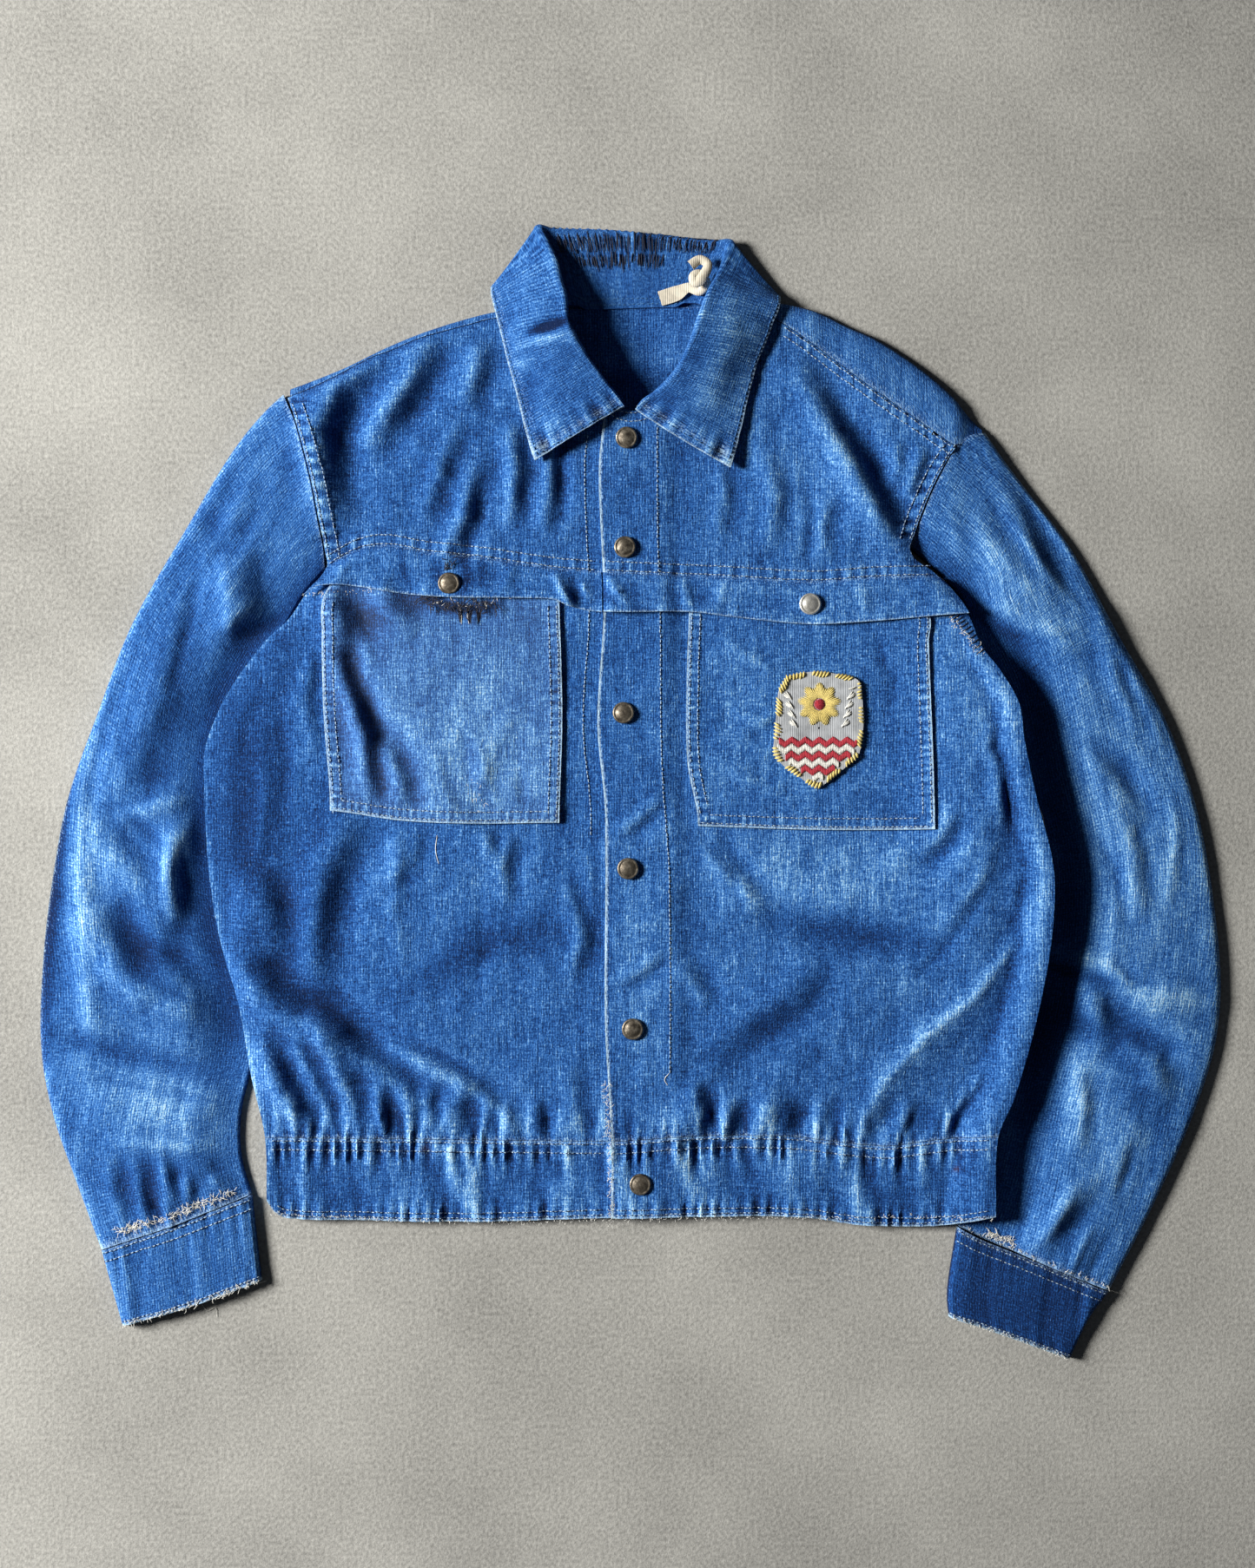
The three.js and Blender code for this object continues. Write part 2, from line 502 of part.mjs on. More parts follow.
const rightCuffSeam = [[-249.5, -264.5], [-279, -276], [-302, -285], [-326, -293], [-349, -301]];
sleeve("right", {
  armhole: [[-201.3, 145.5], [-202, 159], [-206, 181], [-210, 203], [-215.5, 225], [-221, 244],
    [-229, 262]],
  cuffSeam: rightCuffSeam,
  inner: [[-201.3, 145.5], [-215, 130], [-226, 112], [-236, 95], [-246, 75], [-262, 40],
    [-265.5, 0], [-262.5, -50], [-257, -95], [-246, -141], [-247, -170], [-251, -187],
    [-256, -207], [-257.5, -225], [-256, -242], [-249.5, -264.5]],
  outer: [[-229, 262], [-239.5, 252.5], [-260, 228], [-294, 172], [-329, 110], [-351, 53],
    [-371, -4], [-380, -50], [-387, -107], [-388.5, -170], [-380, -215], [-366, -255],
    [-349, -301]],
  cuffTop: drop(rightCuffSeam, [0.2, -0.7]),
  cuffEnd: [[-243, -321], [-290, -338], [-335, -351]],
  cuffInner: [[-249.3, -265.2], [-243, -321]],
  cuffOuter: [[-348.8, -301.7], [-335, -351]],
}, RIGHT_SLEEVE_FOLDS, (y) => 17 * smooth((125 - y) / 25) * smooth((y + 205) / 30), false);

const leftCuffSeam = [[214.6, -285], [230, -293], [255, -303], [288, -317], [315, -328]];
sleeve("left", {
  armhole: [[183, 160.5], [187, 170], [191, 181], [197.5, 197], [205, 212], [214, 227],
    [222, 234], [233.5, 236.5]],
  cuffSeam: leftCuffSeam,
  inner: [[183, 160.5], [200.5, 145.5], [216, 129], [222.5, 114], [224, 100], [231, 80],
    [240, 58], [244, 35], [250, 0], [260, -50], [259, -95], [250, -147], [236, -198],
    [227, -240], [218, -272], [214.6, -285]],
  outer: [[233.5, 236.5], [244, 221], [259, 201], [290, 160], [321, 104], [352.5, 47],
    [372.5, -10], [384, -73], [388.5, -130], [384, -170], [367, -221], [344, -272],
    [315, -328]],
  cuffTop: drop(leftCuffSeam, [-0.2, -0.7]),
  cuffEnd: [[209, -345], [246, -357], [289, -373]],
  cuffInner: [[214.4, -285.7], [208, -330], [209, -345]],
  cuffOuter: [[314.8, -328.7], [302, -346], [289, -373]],
}, LEFT_SLEEVE_FOLDS, (y) => 20 * smooth((125 - y) / 25), true);

// The collar runs from its right front end round the neck: neck seam, roll line, free edge.
const COLLAR = [
  [[-9, 249, 15], [-4, 252, 18], [-63, 217, 15.5]],
  [[-17, 259, 15], [-10, 260, 21], [-66, 226, 15]],
  [[-29, 272, 15], [-19, 272, 24], [-70, 240, 14.5]],
  [[-41, 284, 15], [-28, 285, 26.5], [-75, 260, 14.5]],
  [[-50, 294, 15], [-35, 295, 28], [-80, 280, 14.5]],
  [[-56, 304, 14.5], [-39.5, 307, 28], [-85, 299, 14.5]],
  [[-54, 311, 13.5], [-41.5, 322, 26], [-88, 311, 14]],
  [[-47, 316, 12], [-45.5, 334, 22], [-90, 319, 12.5]],
  [[-44, 318.5, 10], [-50, 349, 17], [-92, 327, 9]],
  [[-42, 320, 9], [-56, 362, 12], [-92, 332, 6]],
  [[-40, 320, 8], [-60.5, 372.5, 8], [-92, 330, 3.5]],
  [[-34, 320, 7.2], [-52, 371.5, 4.5], [-86, 314, 0.8]],
  [[-26, 320.5, 7], [-40, 371, 3.7], [-68, 302, 0]],
  [[-12, 321, 7], [-20, 370.5, 3.4], [-38, 296, 0]],
  [[2, 321.5, 7], [0, 369, 3.3], [0, 294, 0]],
  [[15, 322, 7], [20, 367, 3.4], [40, 296, 0]],
  [[28, 322, 7], [40, 364.5, 3.7], [70, 302, 0]],
  [[37, 321.5, 7.2], [56, 363.5, 4.5], [90, 312, 0.8]],
  [[43, 321, 8], [65, 362.5, 8], [98, 324, 3.5]],
  [[46, 320, 9], [61, 350, 12], [98, 326, 6]],
  [[50, 318, 10.5], [55.5, 338, 17], [98, 323, 10]],
  [[53, 314, 12.5], [50, 328, 22], [97, 317, 13.5]],
  [[56, 306, 14.5], [45, 314, 26], [93, 307, 14.5]],
  [[53, 294, 15], [40, 299, 28], [88, 294, 14.5]],
  [[46, 284, 15], [34, 286, 27], [82, 278, 14.5]],
  [[38, 275, 15], [27.5, 274, 25], [77, 260, 14.5]],
  [[29, 266, 15], [19.5, 265.5, 22.5], [73, 242, 15]],
  [[18, 257, 15], [11, 259, 20], [69, 226, 15]],
  [[10, 249, 15], [3, 251, 18], [65, 212.5, 15.5]],
];

// One cross-section of the collar: its face from the neck seam over the roll to the free edge,
// and the same face moved in by the wall.
function collarSection([seam, roll, edge]) {
  const [n, r, e] = [seam, roll, edge].map((p) => new THREE.Vector3(...p));
  const out = r.clone().sub(n.clone().add(e).multiplyScalar(0.5)).normalize();
  const square = (v, axis) => v.clone().addScaledVector(axis, -v.dot(axis)).normalize();
  const fallSide = square(e.clone().sub(n), out);
  const centre = r.clone().addScaledVector(out, -COLLAR_ROLL);
  const face = [];
  const into = [];
  const rollStart = centre.clone().addScaledVector(fallSide, -COLLAR_ROLL);
  const rollEnd = centre.clone().addScaledVector(fallSide, COLLAR_ROLL);
  const standIn = square(fallSide, rollStart.clone().sub(n).normalize());
  const fallIn = square(fallSide, e.clone().sub(rollEnd).normalize()).negate();
  for (const t of [0, 0.5]) {
    face.push(n.clone().lerp(rollStart, t));
    into.push(standIn);
  }
  for (const turn of [-0.5, -0.25, 0, 0.25, 0.5]) {
    const spoke = out.clone().multiplyScalar(Math.cos(turn * Math.PI))
      .addScaledVector(fallSide, Math.sin(turn * Math.PI));
    face.push(centre.clone().addScaledVector(spoke, COLLAR_ROLL));
    into.push(spoke.clone().negate());
  }
  for (const t of [0.33, 0.67, 1]) {
    const crown = 2.5 * Math.sin(Math.PI * t) * Math.max(0, fallSide.z);
    face.push(rollEnd.clone().lerp(e, t).addScaledVector(fallSide, crown));
    into.push(fallIn);
  }
  const inner = face.map((p, i) => p.clone().addScaledVector(into[i], CLOTH + 0.2).toArray());
  return [face.map((p) => p.toArray()), inner];
}
const collarSections = COLLAR.map(collarSection);
add("collar", wall(turned(collarSections.map((s) => s[0])), turned(collarSections.map((s) => s[1]))),
  denim(0x4568a0));

// Knotted tape loop: a flat tape along a rising looped path on the collar's stand.
const TAPE_WIDTH = 8;
const tapePath = new THREE.CatmullRomCurve3([
  [18, 328, 8.4], [30, 328.5, 8.6], [40, 331, 10.5], [48, 338, 14], [44, 345, 16.5],
  [37, 340, 19], [40, 333, 20.5], [46, 328, 21],
].map((p) => new THREE.Vector3(...p)));
const tapeSteps = 18;
const tapeFace = [];
for (let k = 0; k <= tapeSteps; k++) {
  const point = tapePath.getPointAt(k / tapeSteps);
  const heading = tapePath.getTangentAt(k / tapeSteps).setZ(0).normalize();
  const aside = new THREE.Vector3(-heading.y, heading.x, 0).multiplyScalar(TAPE_WIDTH / 2);
  tapeFace.push([point.clone().sub(aside).toArray(), point.clone().add(aside).toArray()]);
}
add("hang_loop", wall(turned(tapeFace), turned(tapeFace.map((row) => row.map(
  ([x, y, z]) => [x, y, z - 1])))), new THREE.MeshStandardMaterial({ color: 0xb9ab8e, roughness: 0.9 }));

// Snap caps: shallow domes seated on the cloth, tilted with it.
const capProfile = [[0, 0], [SNAP_RADIUS - 0.6, 0], [SNAP_RADIUS, 0.8], [SNAP_RADIUS - 0.6, 1.9],
  [SNAP_RADIUS * 0.6, 2.5], [0, 2.7]].map(([r, h]) => new THREE.Vector2(r, h));
const capShape = new THREE.LatheGeometry(capProfile, 14).rotateX(Math.PI / 2);
const snapLift = (x, y, height, lift) => {
  const reach = SNAP_RADIUS;
  const slopeX = (height(x + reach, y) - height(x - reach, y)) / (2 * reach);
  const slopeY = (height(x, y + reach) - height(x, y - reach)) / (2 * reach);
  const normal = new THREE.Vector3(-slopeX, -slopeY, 1).normalize();
  return [height(x, y) + lift, normal];
};
const UP = new THREE.Vector3(0, 0, 1);
function snap(name, [x, y], height, lift) {
  const mesh = add(name, capShape.clone(), brass);
  const [z, normal] = snapLift(x, y, height, lift);
  mesh.position.set(x, y, z);
  mesh.quaternion.setFromUnitVectors(UP, normal);
}
const SNAPS = [[-3, 232], [-4, 160.5], [-5, 52], [-2, -50], [1, -155], [6, -257]];
SNAPS.forEach((place, i) => snap(`snap_${i + 1}`, place, overFrontHeight, 0.8));
snap("snap_flap_right", [-119, 136.5], frontHeight, 2 * (CLOTH + LAP) + 0.6);
snap("snap_flap_left", [117, 123], overFrontHeight, 2 * (CLOTH + LAP) + 0.6);

// The badge: a shield on the left pocket.
const badgeOutline = [
  [101.6, 75.6], [96.5, 66], [95, 52], [94, 38], [93.6, 25], [99, 18], [110, 10], [121.6, 3],
  [130, 8], [141, 17], [148, 23], [151, 34], [152, 48], [151, 62], [149.5, 72], [143, 76],
  [134, 77.5], [123, 79], [111, 78],
];
const BADGE_CENTRE = [123, 42];
const BADGE_THICKNESS = 1.4;
const badgeBase = (x, y) => overFrontHeight(x, y) + CLOTH + LAP + 0.9;
const badgeRings = [1, 0.66, 0.33].map((scale) => badgeOutline.map(([x, y]) => [
  lerp(BADGE_CENTRE[0], x, scale), lerp(BADGE_CENTRE[1], y, scale)]));
function badgeGeometry() {
  const count = badgeOutline.length;
  const layers = [0, BADGE_THICKNESS].map((up) => [
    ...badgeRings.flat(), BADGE_CENTRE].map(([x, y]) => [x, y, badgeBase(x, y) + up]));
  const centre = 3 * count;
  const layer = centre + 1;
  const index = [];
  for (let i = 0; i < count; i++) {
    const k = (i + 1) % count;
    for (const r of [0, 1]) {
      const [a, b, c, d] = [r * count + i, r * count + k, (r + 1) * count + k, (r + 1) * count + i];
      index.push(layer + a, layer + c, layer + d, layer + a, layer + b, layer + c);
      index.push(a, d, c, a, c, b);
    }
    index.push(layer + 2 * count + i, layer + 2 * count + k, layer + centre);
    index.push(2 * count + i, centre, 2 * count + k);
    index.push(i, layer + k, layer + i, i, k, layer + k);
  }
  const geometry = new THREE.BufferGeometry();
  geometry.setAttribute("position", new THREE.Float32BufferAttribute(layers.flat(2), 3));
  geometry.setIndex(index);
  geometry.computeVertexNormals();
  return geometry;
}
add("badge", badgeGeometry(), new THREE.MeshStandardMaterial({ color: 0x8f8f8a, roughness: 0.9 }));

export default jacket;
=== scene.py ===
"""Looks of a worn denim work jacket laid flat on its back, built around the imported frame.

Lengths are millimetres in the frame's axes until a mesh is made, which is in metres.
Right and left are the wearer's, so the wearer's right is at the viewer's left.
"""
import math

import bpy
import numpy as np
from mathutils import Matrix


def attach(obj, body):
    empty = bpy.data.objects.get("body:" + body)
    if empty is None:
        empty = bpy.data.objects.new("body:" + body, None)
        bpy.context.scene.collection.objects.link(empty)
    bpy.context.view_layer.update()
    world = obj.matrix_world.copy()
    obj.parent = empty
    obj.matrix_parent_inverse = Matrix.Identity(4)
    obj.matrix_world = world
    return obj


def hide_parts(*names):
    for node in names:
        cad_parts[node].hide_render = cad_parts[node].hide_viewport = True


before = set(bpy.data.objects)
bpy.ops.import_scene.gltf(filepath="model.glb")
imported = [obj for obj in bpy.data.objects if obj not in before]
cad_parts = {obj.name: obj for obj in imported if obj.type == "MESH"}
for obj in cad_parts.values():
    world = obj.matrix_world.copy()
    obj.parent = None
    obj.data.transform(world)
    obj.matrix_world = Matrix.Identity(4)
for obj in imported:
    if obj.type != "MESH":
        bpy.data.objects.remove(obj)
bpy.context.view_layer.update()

MM = 0.001
CLOTH = 1.7  # one layer of denim with its seam allowances
DOUBLED = 2.2  # a band or cuff of two layers
TUBE_CLOTH = 1.1  # a sleeve's single layer, which bends sharply at its edges
SEAM = 0.2  # each of two neighbours stops this far from their shared seam line
LAP = 0.6  # clearance between a panel and what lies on it
ON_FRONT = CLOTH + LAP  # how much higher than a front's face the layer on it lies
BODY_GAP = 1.2  # least room between the back and a front over it
FLOOR_GAP = 0.4  # lowest level of the back's inner face
FRONT_LEVEL = 9.5
SIDE_LEVEL = 7.6
SIDE_ROUND = 15
SHOULDER_LEVEL = 7.2
SHOULDER_ROUND = 12
BACK_RISE = 5.4
RISE_WIDTH = 25
ARMPIT = 147
SHOULDER_LAP = 92  # right of this X the left shoulder's seam shows as a raised lap
ARM_END = 112  # the back follows the sleeves' inner lines up to this Y
COLLAR_HALF = 84  # between these X the shoulders' turn lies flat under the collar
NECK_RISE = 2.9
SLEEVE_LEVEL = 10.5
SLEEVE_PRESSED = 4.1
SLEEVE_EDGE = 1.95
SLEEVE_ROUND = 9
SLEEVE_RUN = 380  # about the length of a sleeve, for the puckers at its cuff
CUFF_RUN = 50
CUFF_LEVEL = 5.2
CUFF_RISE = 3.6
COLLAR_ROLL = 3.2
SNAP_RADIUS = 7.1
SNAP_SIDES = 40
GRID = 2.5  # spacing of the panels' nets
PUCKER = 8.6  # spacing of the puckers along a seam
FRONT_GAIN = 1.25  # the folds stand this much taller than in the solids
SLEEVE_GAIN = 1.35
AWAY = (0.985, -0.17)  # the way in plan that the key light travels
STITCH_PITCH = 3.1
STITCH_LENGTH = 2.2
random = np.random.default_rng(12)


# Curves, folds and noise


def lerp(a, b, t):
    return a + (b - a) * t


def clamp(t):
    return np.clip(t, 0, 1)


def smooth(t):
    return clamp(t) ** 2 * (3 - 2 * clamp(t))


def near(distance, width):
    return np.exp(-(distance / width) ** 2)


def through(pairs):
    """A smooth curve through (input, output) pairs with rising inputs, level beyond its ends."""
    inputs, outputs = np.array(pairs, float).T
    last = len(inputs) - 1
    before = np.maximum(np.arange(last + 1) - 1, 0)
    after = np.minimum(np.arange(last + 1) + 1, last)
    slope = (outputs[after] - outputs[before]) / (inputs[after] - inputs[before])

    def curve(t):
        t = np.clip(t, inputs[0], inputs[-1])
        i = np.clip(np.searchsorted(inputs, t, "right") - 1, 0, last - 1)
        h = inputs[i + 1] - inputs[i]
        k = (t - inputs[i]) / h
        rise = outputs[i] * (1 + 2 * k) * (1 - k) ** 2 + outputs[i + 1] * k * k * (3 - 2 * k)
        return rise + h * (slope[i] * k * (1 - k) ** 2 - slope[i + 1] * k * k * (1 - k))

    return curve


def level_line(points):
    return through(points)


def upright_line(points):
    return through([(y, x) for x, y in points])


def shifted(line, by):
    return lambda t: line(t) + by


def path(points, samples=24):
    """A smooth path through points, as a function of the share of its length."""
    p = np.array(points, float)
    p = np.vstack([2 * p[0] - p[1], p, 2 * p[-1] - p[-2]])
    step = np.linalg.norm(np.diff(p, axis=0), axis=1) ** 0.5
    dense = []
    t = np.linspace(0, 1, samples, endpoint=False)[:, None]
    for i in range(1, len(p) - 2):
        a, b, c = step[i - 1:i + 2]
        leave = (p[i] - p[i - 1]) / a - (p[i + 1] - p[i - 1]) / (a + b) + (p[i + 1] - p[i]) / b
        reach = (p[i + 1] - p[i]) / b - (p[i + 2] - p[i]) / (b + c) + (p[i + 2] - p[i + 1]) / c
        d0, d1 = leave * b, reach * b
        bend = -3 * p[i] + 3 * p[i + 1] - 2 * d0 - d1
        twist = 2 * p[i] - 2 * p[i + 1] + d0 + d1
        dense.append(p[i] + d0 * t + bend * t ** 2 + twist * t ** 3)
    dense = np.vstack(dense + [p[-2:-1]])
    length = np.append(0, np.cumsum(np.linalg.norm(np.diff(dense, axis=0), axis=1)))
    length /= length[-1]
    return lambda t: np.stack([np.interp(t, length, axis) for axis in dense.T], -1)


def fold_place(line, x, y):
    """The distance from a line of points, how far along it the nearest point is, and its side."""
    nearest = np.full(np.shape(x), np.inf)
    share = np.zeros(np.shape(x))
    side = np.zeros(np.shape(x))
    count = len(line) - 1
    for i, ((ax, ay), (bx, by)) in enumerate(zip(line[:-1], line[1:])):
        span = (bx - ax) ** 2 + (by - ay) ** 2
        t = clamp(((x - ax) * (bx - ax) + (y - ay) * (by - ay)) / span)
        squared = (x - lerp(ax, bx, t)) ** 2 + (y - lerp(ay, by, t)) ** 2
        share = np.where(squared < nearest, (i + t) / count, share)
        turn = np.sign((x - ax) * (by - ay) - (y - ay) * (bx - ax))
        side = np.where(squared < nearest, turn, side)
        nearest = np.minimum(nearest, squared)
    return np.sqrt(nearest), share, side


def folded(folds, x, y):
    """What a list of (height, half-width, line) adds at a point; each is fullest mid-way."""
    total = np.zeros(np.shape(x))
    for height, width, line in folds:
        distance, share, _ = fold_place(line, x, y)
        fullness = 0.45 + 0.55 * np.sin(math.pi * share)
        total = total + height * fullness * near(distance, width * (0.7 + 0.3 * fullness))
    return total


def draped(drapes, x, y):
    """Steps down away from the light, each as (drop, half-width of its slope, line)."""
    total = np.zeros(np.shape(x))
    for drop, width, line in drapes:
        distance, share, side = fold_place(line, x, y)
        (ax, ay), (bx, by) = line[0], line[-1]
        facing = np.sign((by - ay) * AWAY[0] - (bx - ax) * AWAY[1])
        across = distance * side * facing / width
        slope = 0.35 * np.exp(-across ** 2 / 2) - across * np.exp((1 - across ** 2) / 2)
        total = total + drop * np.sin(math.pi * share) ** 0.7 * slope
    return total


def swollen(swells, x, y):
    """What a list of (rise, centre, half-widths) of soft rounded swells adds at a point."""
    total = np.zeros(np.shape(x))
    for rise, (cx, cy), (rx, ry) in swells:
        total = total + rise * np.exp(-(((x - cx) / rx) ** 2) - ((y - cy) / ry) ** 2)
    return total


def rough(x, y, size, seed):
    """Smooth value noise from -1 to 1 with cells of the given size."""
    table = np.random.default_rng(seed).uniform(-1, 1, (64, 64))
    gx, gy = x / size + 1000.3, y / size + 1000.7
    ix, iy = np.floor(gx).astype(int), np.floor(gy).astype(int)
    tx, ty = smooth(gx - ix), smooth(gy - iy)

    def value(i, j):
        return table[i % 64, j % 64]

    low = lerp(value(ix, iy), value(ix + 1, iy), tx)
    high = lerp(value(ix, iy + 1), value(ix + 1, iy + 1), tx)
    return lerp(low, high, ty)


def puckers(along, away, height, reach=7, seed=3, spacing=PUCKER):
    """Small gathers that a sewn seam draws in the cloth beside it."""
    phase = along / spacing + 0.5 * rough(along, along * 0, 19, seed)
    uneven = 0.65 + 0.5 * rough(along, along * 0, 11, seed + 1)
    return height * np.sin(2 * math.pi * phase) * uneven * near(away, reach)


# The jacket's lines in plan, as in the solids

body_right_side = upright_line([
    (-239, -278), (-240, -227), (-249, -187), (-257, -141), (-270, -95), (-277, -50), (-280, 7),
    (-279, 30), (-265, 64), (-240, 99), (-225, 113), (-214, 129), (-200, 146), (-201, 159),
    (-205, 181), (-209, 203), (-214.5, 225), (-220, 244), (-226, 260)])
body_left_side = upright_line([
    (238, -278), (239, -226), (250, -198), (264, -147), (273, -95), (274, -50), (262, 0),
    (255, 35), (252, 58), (240, 80), (229, 95), (221, 116), (214, 128), (199, 144), (186, 153),
    (183, 160), (186, 169), (190, 181), (196.5, 197), (204, 212), (213, 226), (221, 233),
    (232, 237)])
chest_seam = level_line([
    (-201, 146), (-188, 154.5), (-174, 160), (-157, 161), (-135, 157), (-97, 153),
    (-48, 146), (0, 143), (53, 141), (118, 137.5), (160, 140), (201, 141)])
flap_edge = level_line([
    (-213, 130), (-207, 135.5), (-187, 136.5), (-150, 131), (-118, 128.5), (-64, 128),
    (-50, 127), (-40, 122.5), (-18, 119), (38, 119), (64, 116), (115, 111), (160, 113),
    (200, 116.5), (221, 118)])
pocket_bottom = level_line([
    (-280, -9), (-197, -12), (-150, -18.5), (-101, -20.5), (-47, -20), (44, -22), (120, -24.5),
    (198, -24), (272, -20)])
waist_seam = level_line([
    (-240, -226.5), (-150, -227.5), (-30, -229), (0, -228.5), (30, -226), (100, -225.5),
    (165, -232), (200, -228), (239, -224)])
hem = level_line([
    (-239, -268), (-234, -275), (-226, -279.5), (-180, -281), (-100, -282), (-12, -279.5),
    (110, -279), (150, -284), (200, -284.5), (239, -277)])
shoulder_seam = level_line([
    (-226, 258.5), (-212, 264), (-191, 274), (-172, 284.5), (-157, 290), (-138, 298),
    (-107, 306.5), (-88, 311), (-72, 307), (-60, 297), (-42, 279), (-22, 261), (-8, 251),
    (8, 251), (24, 262), (42, 279), (58, 297), (72, 308), (86, 312), (98, 308), (110, 300.5),
    (121, 292.5), (160, 263.5), (190, 242.5), (213, 226)])
top_edge = level_line([
    (-229, 263), (-191, 277.5), (-157, 294), (-121, 307.5), (-87, 316), (-60, 317), (0, 318.5),
    (60, 319.5), (97, 321), (121, 316), (143, 305.5), (160, 298), (180, 285.5), (198, 272),
    (213, 258), (222, 247), (232, 238)])
lapping_edge = upright_line([
    (-13, -284), (-13, -226), (-17, -150), (-17, -14), (-22, 45), (-18, 120), (-21, 211),
    (-17, 252)])
facing_stitch = upright_line([
    (25, -284), (25, -60), (20, 20), (19, 117), (17.5, 160), (17, 252)])
right_pocket_outer = upright_line([
    (-203, -284), (-197, -12), (-201.5, 55), (-202, 103), (-200, 130), (-178, 158)])
right_pocket_inner = upright_line([
    (-49, -284), (-47, -20), (-45, 50), (-47, 127), (-47, 150)])
left_pocket_inner = upright_line([
    (46, -284), (44, -21), (37, 20), (36.5, 74), (38, 118), (38, 150)])
left_pocket_outer = upright_line([
    (203, -284), (198, -24), (196, 50), (194.5, 98), (195, 116), (176, 145)])
right_sleeve_inner = upright_line([
    (-243, -290), (-249.5, -265), (-256, -240), (-257, -225), (-255, -207), (-250, -187),
    (-246, -170), (-245, -141), (-257, -95), (-262.5, -50), (-265.5, 0), (-262, 40),
    (-246, 75), (-236, 95), (-225, 112), (-214, 130), (-200.5, 145.5)])
left_sleeve_inner = upright_line([
    (214, -286), (218, -275), (227, -240), (236, -198), (250, -147), (259, -95), (260, -50),
    (249, 0), (243, 35), (239, 58), (230, 80), (223, 100), (221, 116), (214, 129), (200, 145),
    (184, 160)])

# Folds as (height of the ridge, half-width, line); a hollow's height is negative.
FRONT_FOLDS = [
    (4, 12, [(-255, -60), (-250, -90), (-240, -120)]),
    (4, 8, [(-254, -166), (-240, -186), (-225, -206), (-212, -224)]),
    (4, 8, [(-208, -150), (-198, -172), (-187, -197), (-178, -224)]),
    (3, 6, [(-134, -198), (-128, -226)]),
    (3, 7, [(41, -190), (37, -208), (34, -226)]),
    (-3, 13, [(92, -84), (140, -93), (200, -103)]),
    (2.5, 13, [(262, -84), (226, -134), (194, -160), (165, -191), (154, -214)]),
    (-3, 7, [(118, -202), (114, -226)]),
    (3, 8, [(90, -196), (82, -226)]),
    (-3, 7, [(172, -205), (160, -228)]),
    (-2.5, 9, [(216, -24), (200, -42), (186, -52)]),
    (-3, 9, [(-196, 100), (-190, 60), (-186, 20)]),
    (2.5, 12, [(-140, 10), (-120, -14), (-90, -40)])]
FRONT_SWELLS = [
    (13.5, (226, 6), (38, 112)),
    (3.5, (150, -130), (90, 80)),
    (2.5, (-150, 60), (70, 90)),
    (3, (0, 262), (80, 30)),
    (3, (150, 190), (60, 50)),
    (-2.5, (0, -262), (260, 34))]
RIGHT_SLEEVE_FOLDS = [
    (2.4, 14, [(-257, 158), (-263, 125), (-268, 92), (-283, 62)]),
    (4, 9, [(-330, -14), (-305, -5), (-284, -3)]),
    (5, 10, [(-284, -14), (-294, -34), (-301, -56), (-299, -78)]),
    (3.5, 9, [(-362, -10), (-361, -60), (-360, -112), (-354, -150)]),
    (3.5, 11, [(-342, -120), (-318, -132), (-290, -142), (-264, -156)]),
    (-3, 10, [(-372, -160), (-340, -170), (-300, -179), (-264, -188)]),
    (-3.5, 9, [(-306, 178), (-290, 196), (-274, 206)])]
LEFT_SLEEVE_FOLDS = [
    (4, 9, [(308, 116), (330, 76), (346, 40)]),
    (3.5, 14, [(214, 196), (232, 162), (262, 136), (292, 116)]),
    (-5, 12, [(206, 152), (222, 128), (236, 112)]),
    (3.5, 10, [(234, 110), (264, 100), (300, 104)]),
    (-3, 9, [(306, 30), (326, 8), (340, -16)]),
    (3, 8, [(270, -100), (296, -110), (322, -123)]),
    (2, 9, [(318, -126), (350, -134), (380, -138)]),
    (-5, 12, [(276, -150), (312, -156), (348, -168)]),
    (3.5, 7, [(288, -262), (264, -298)])]

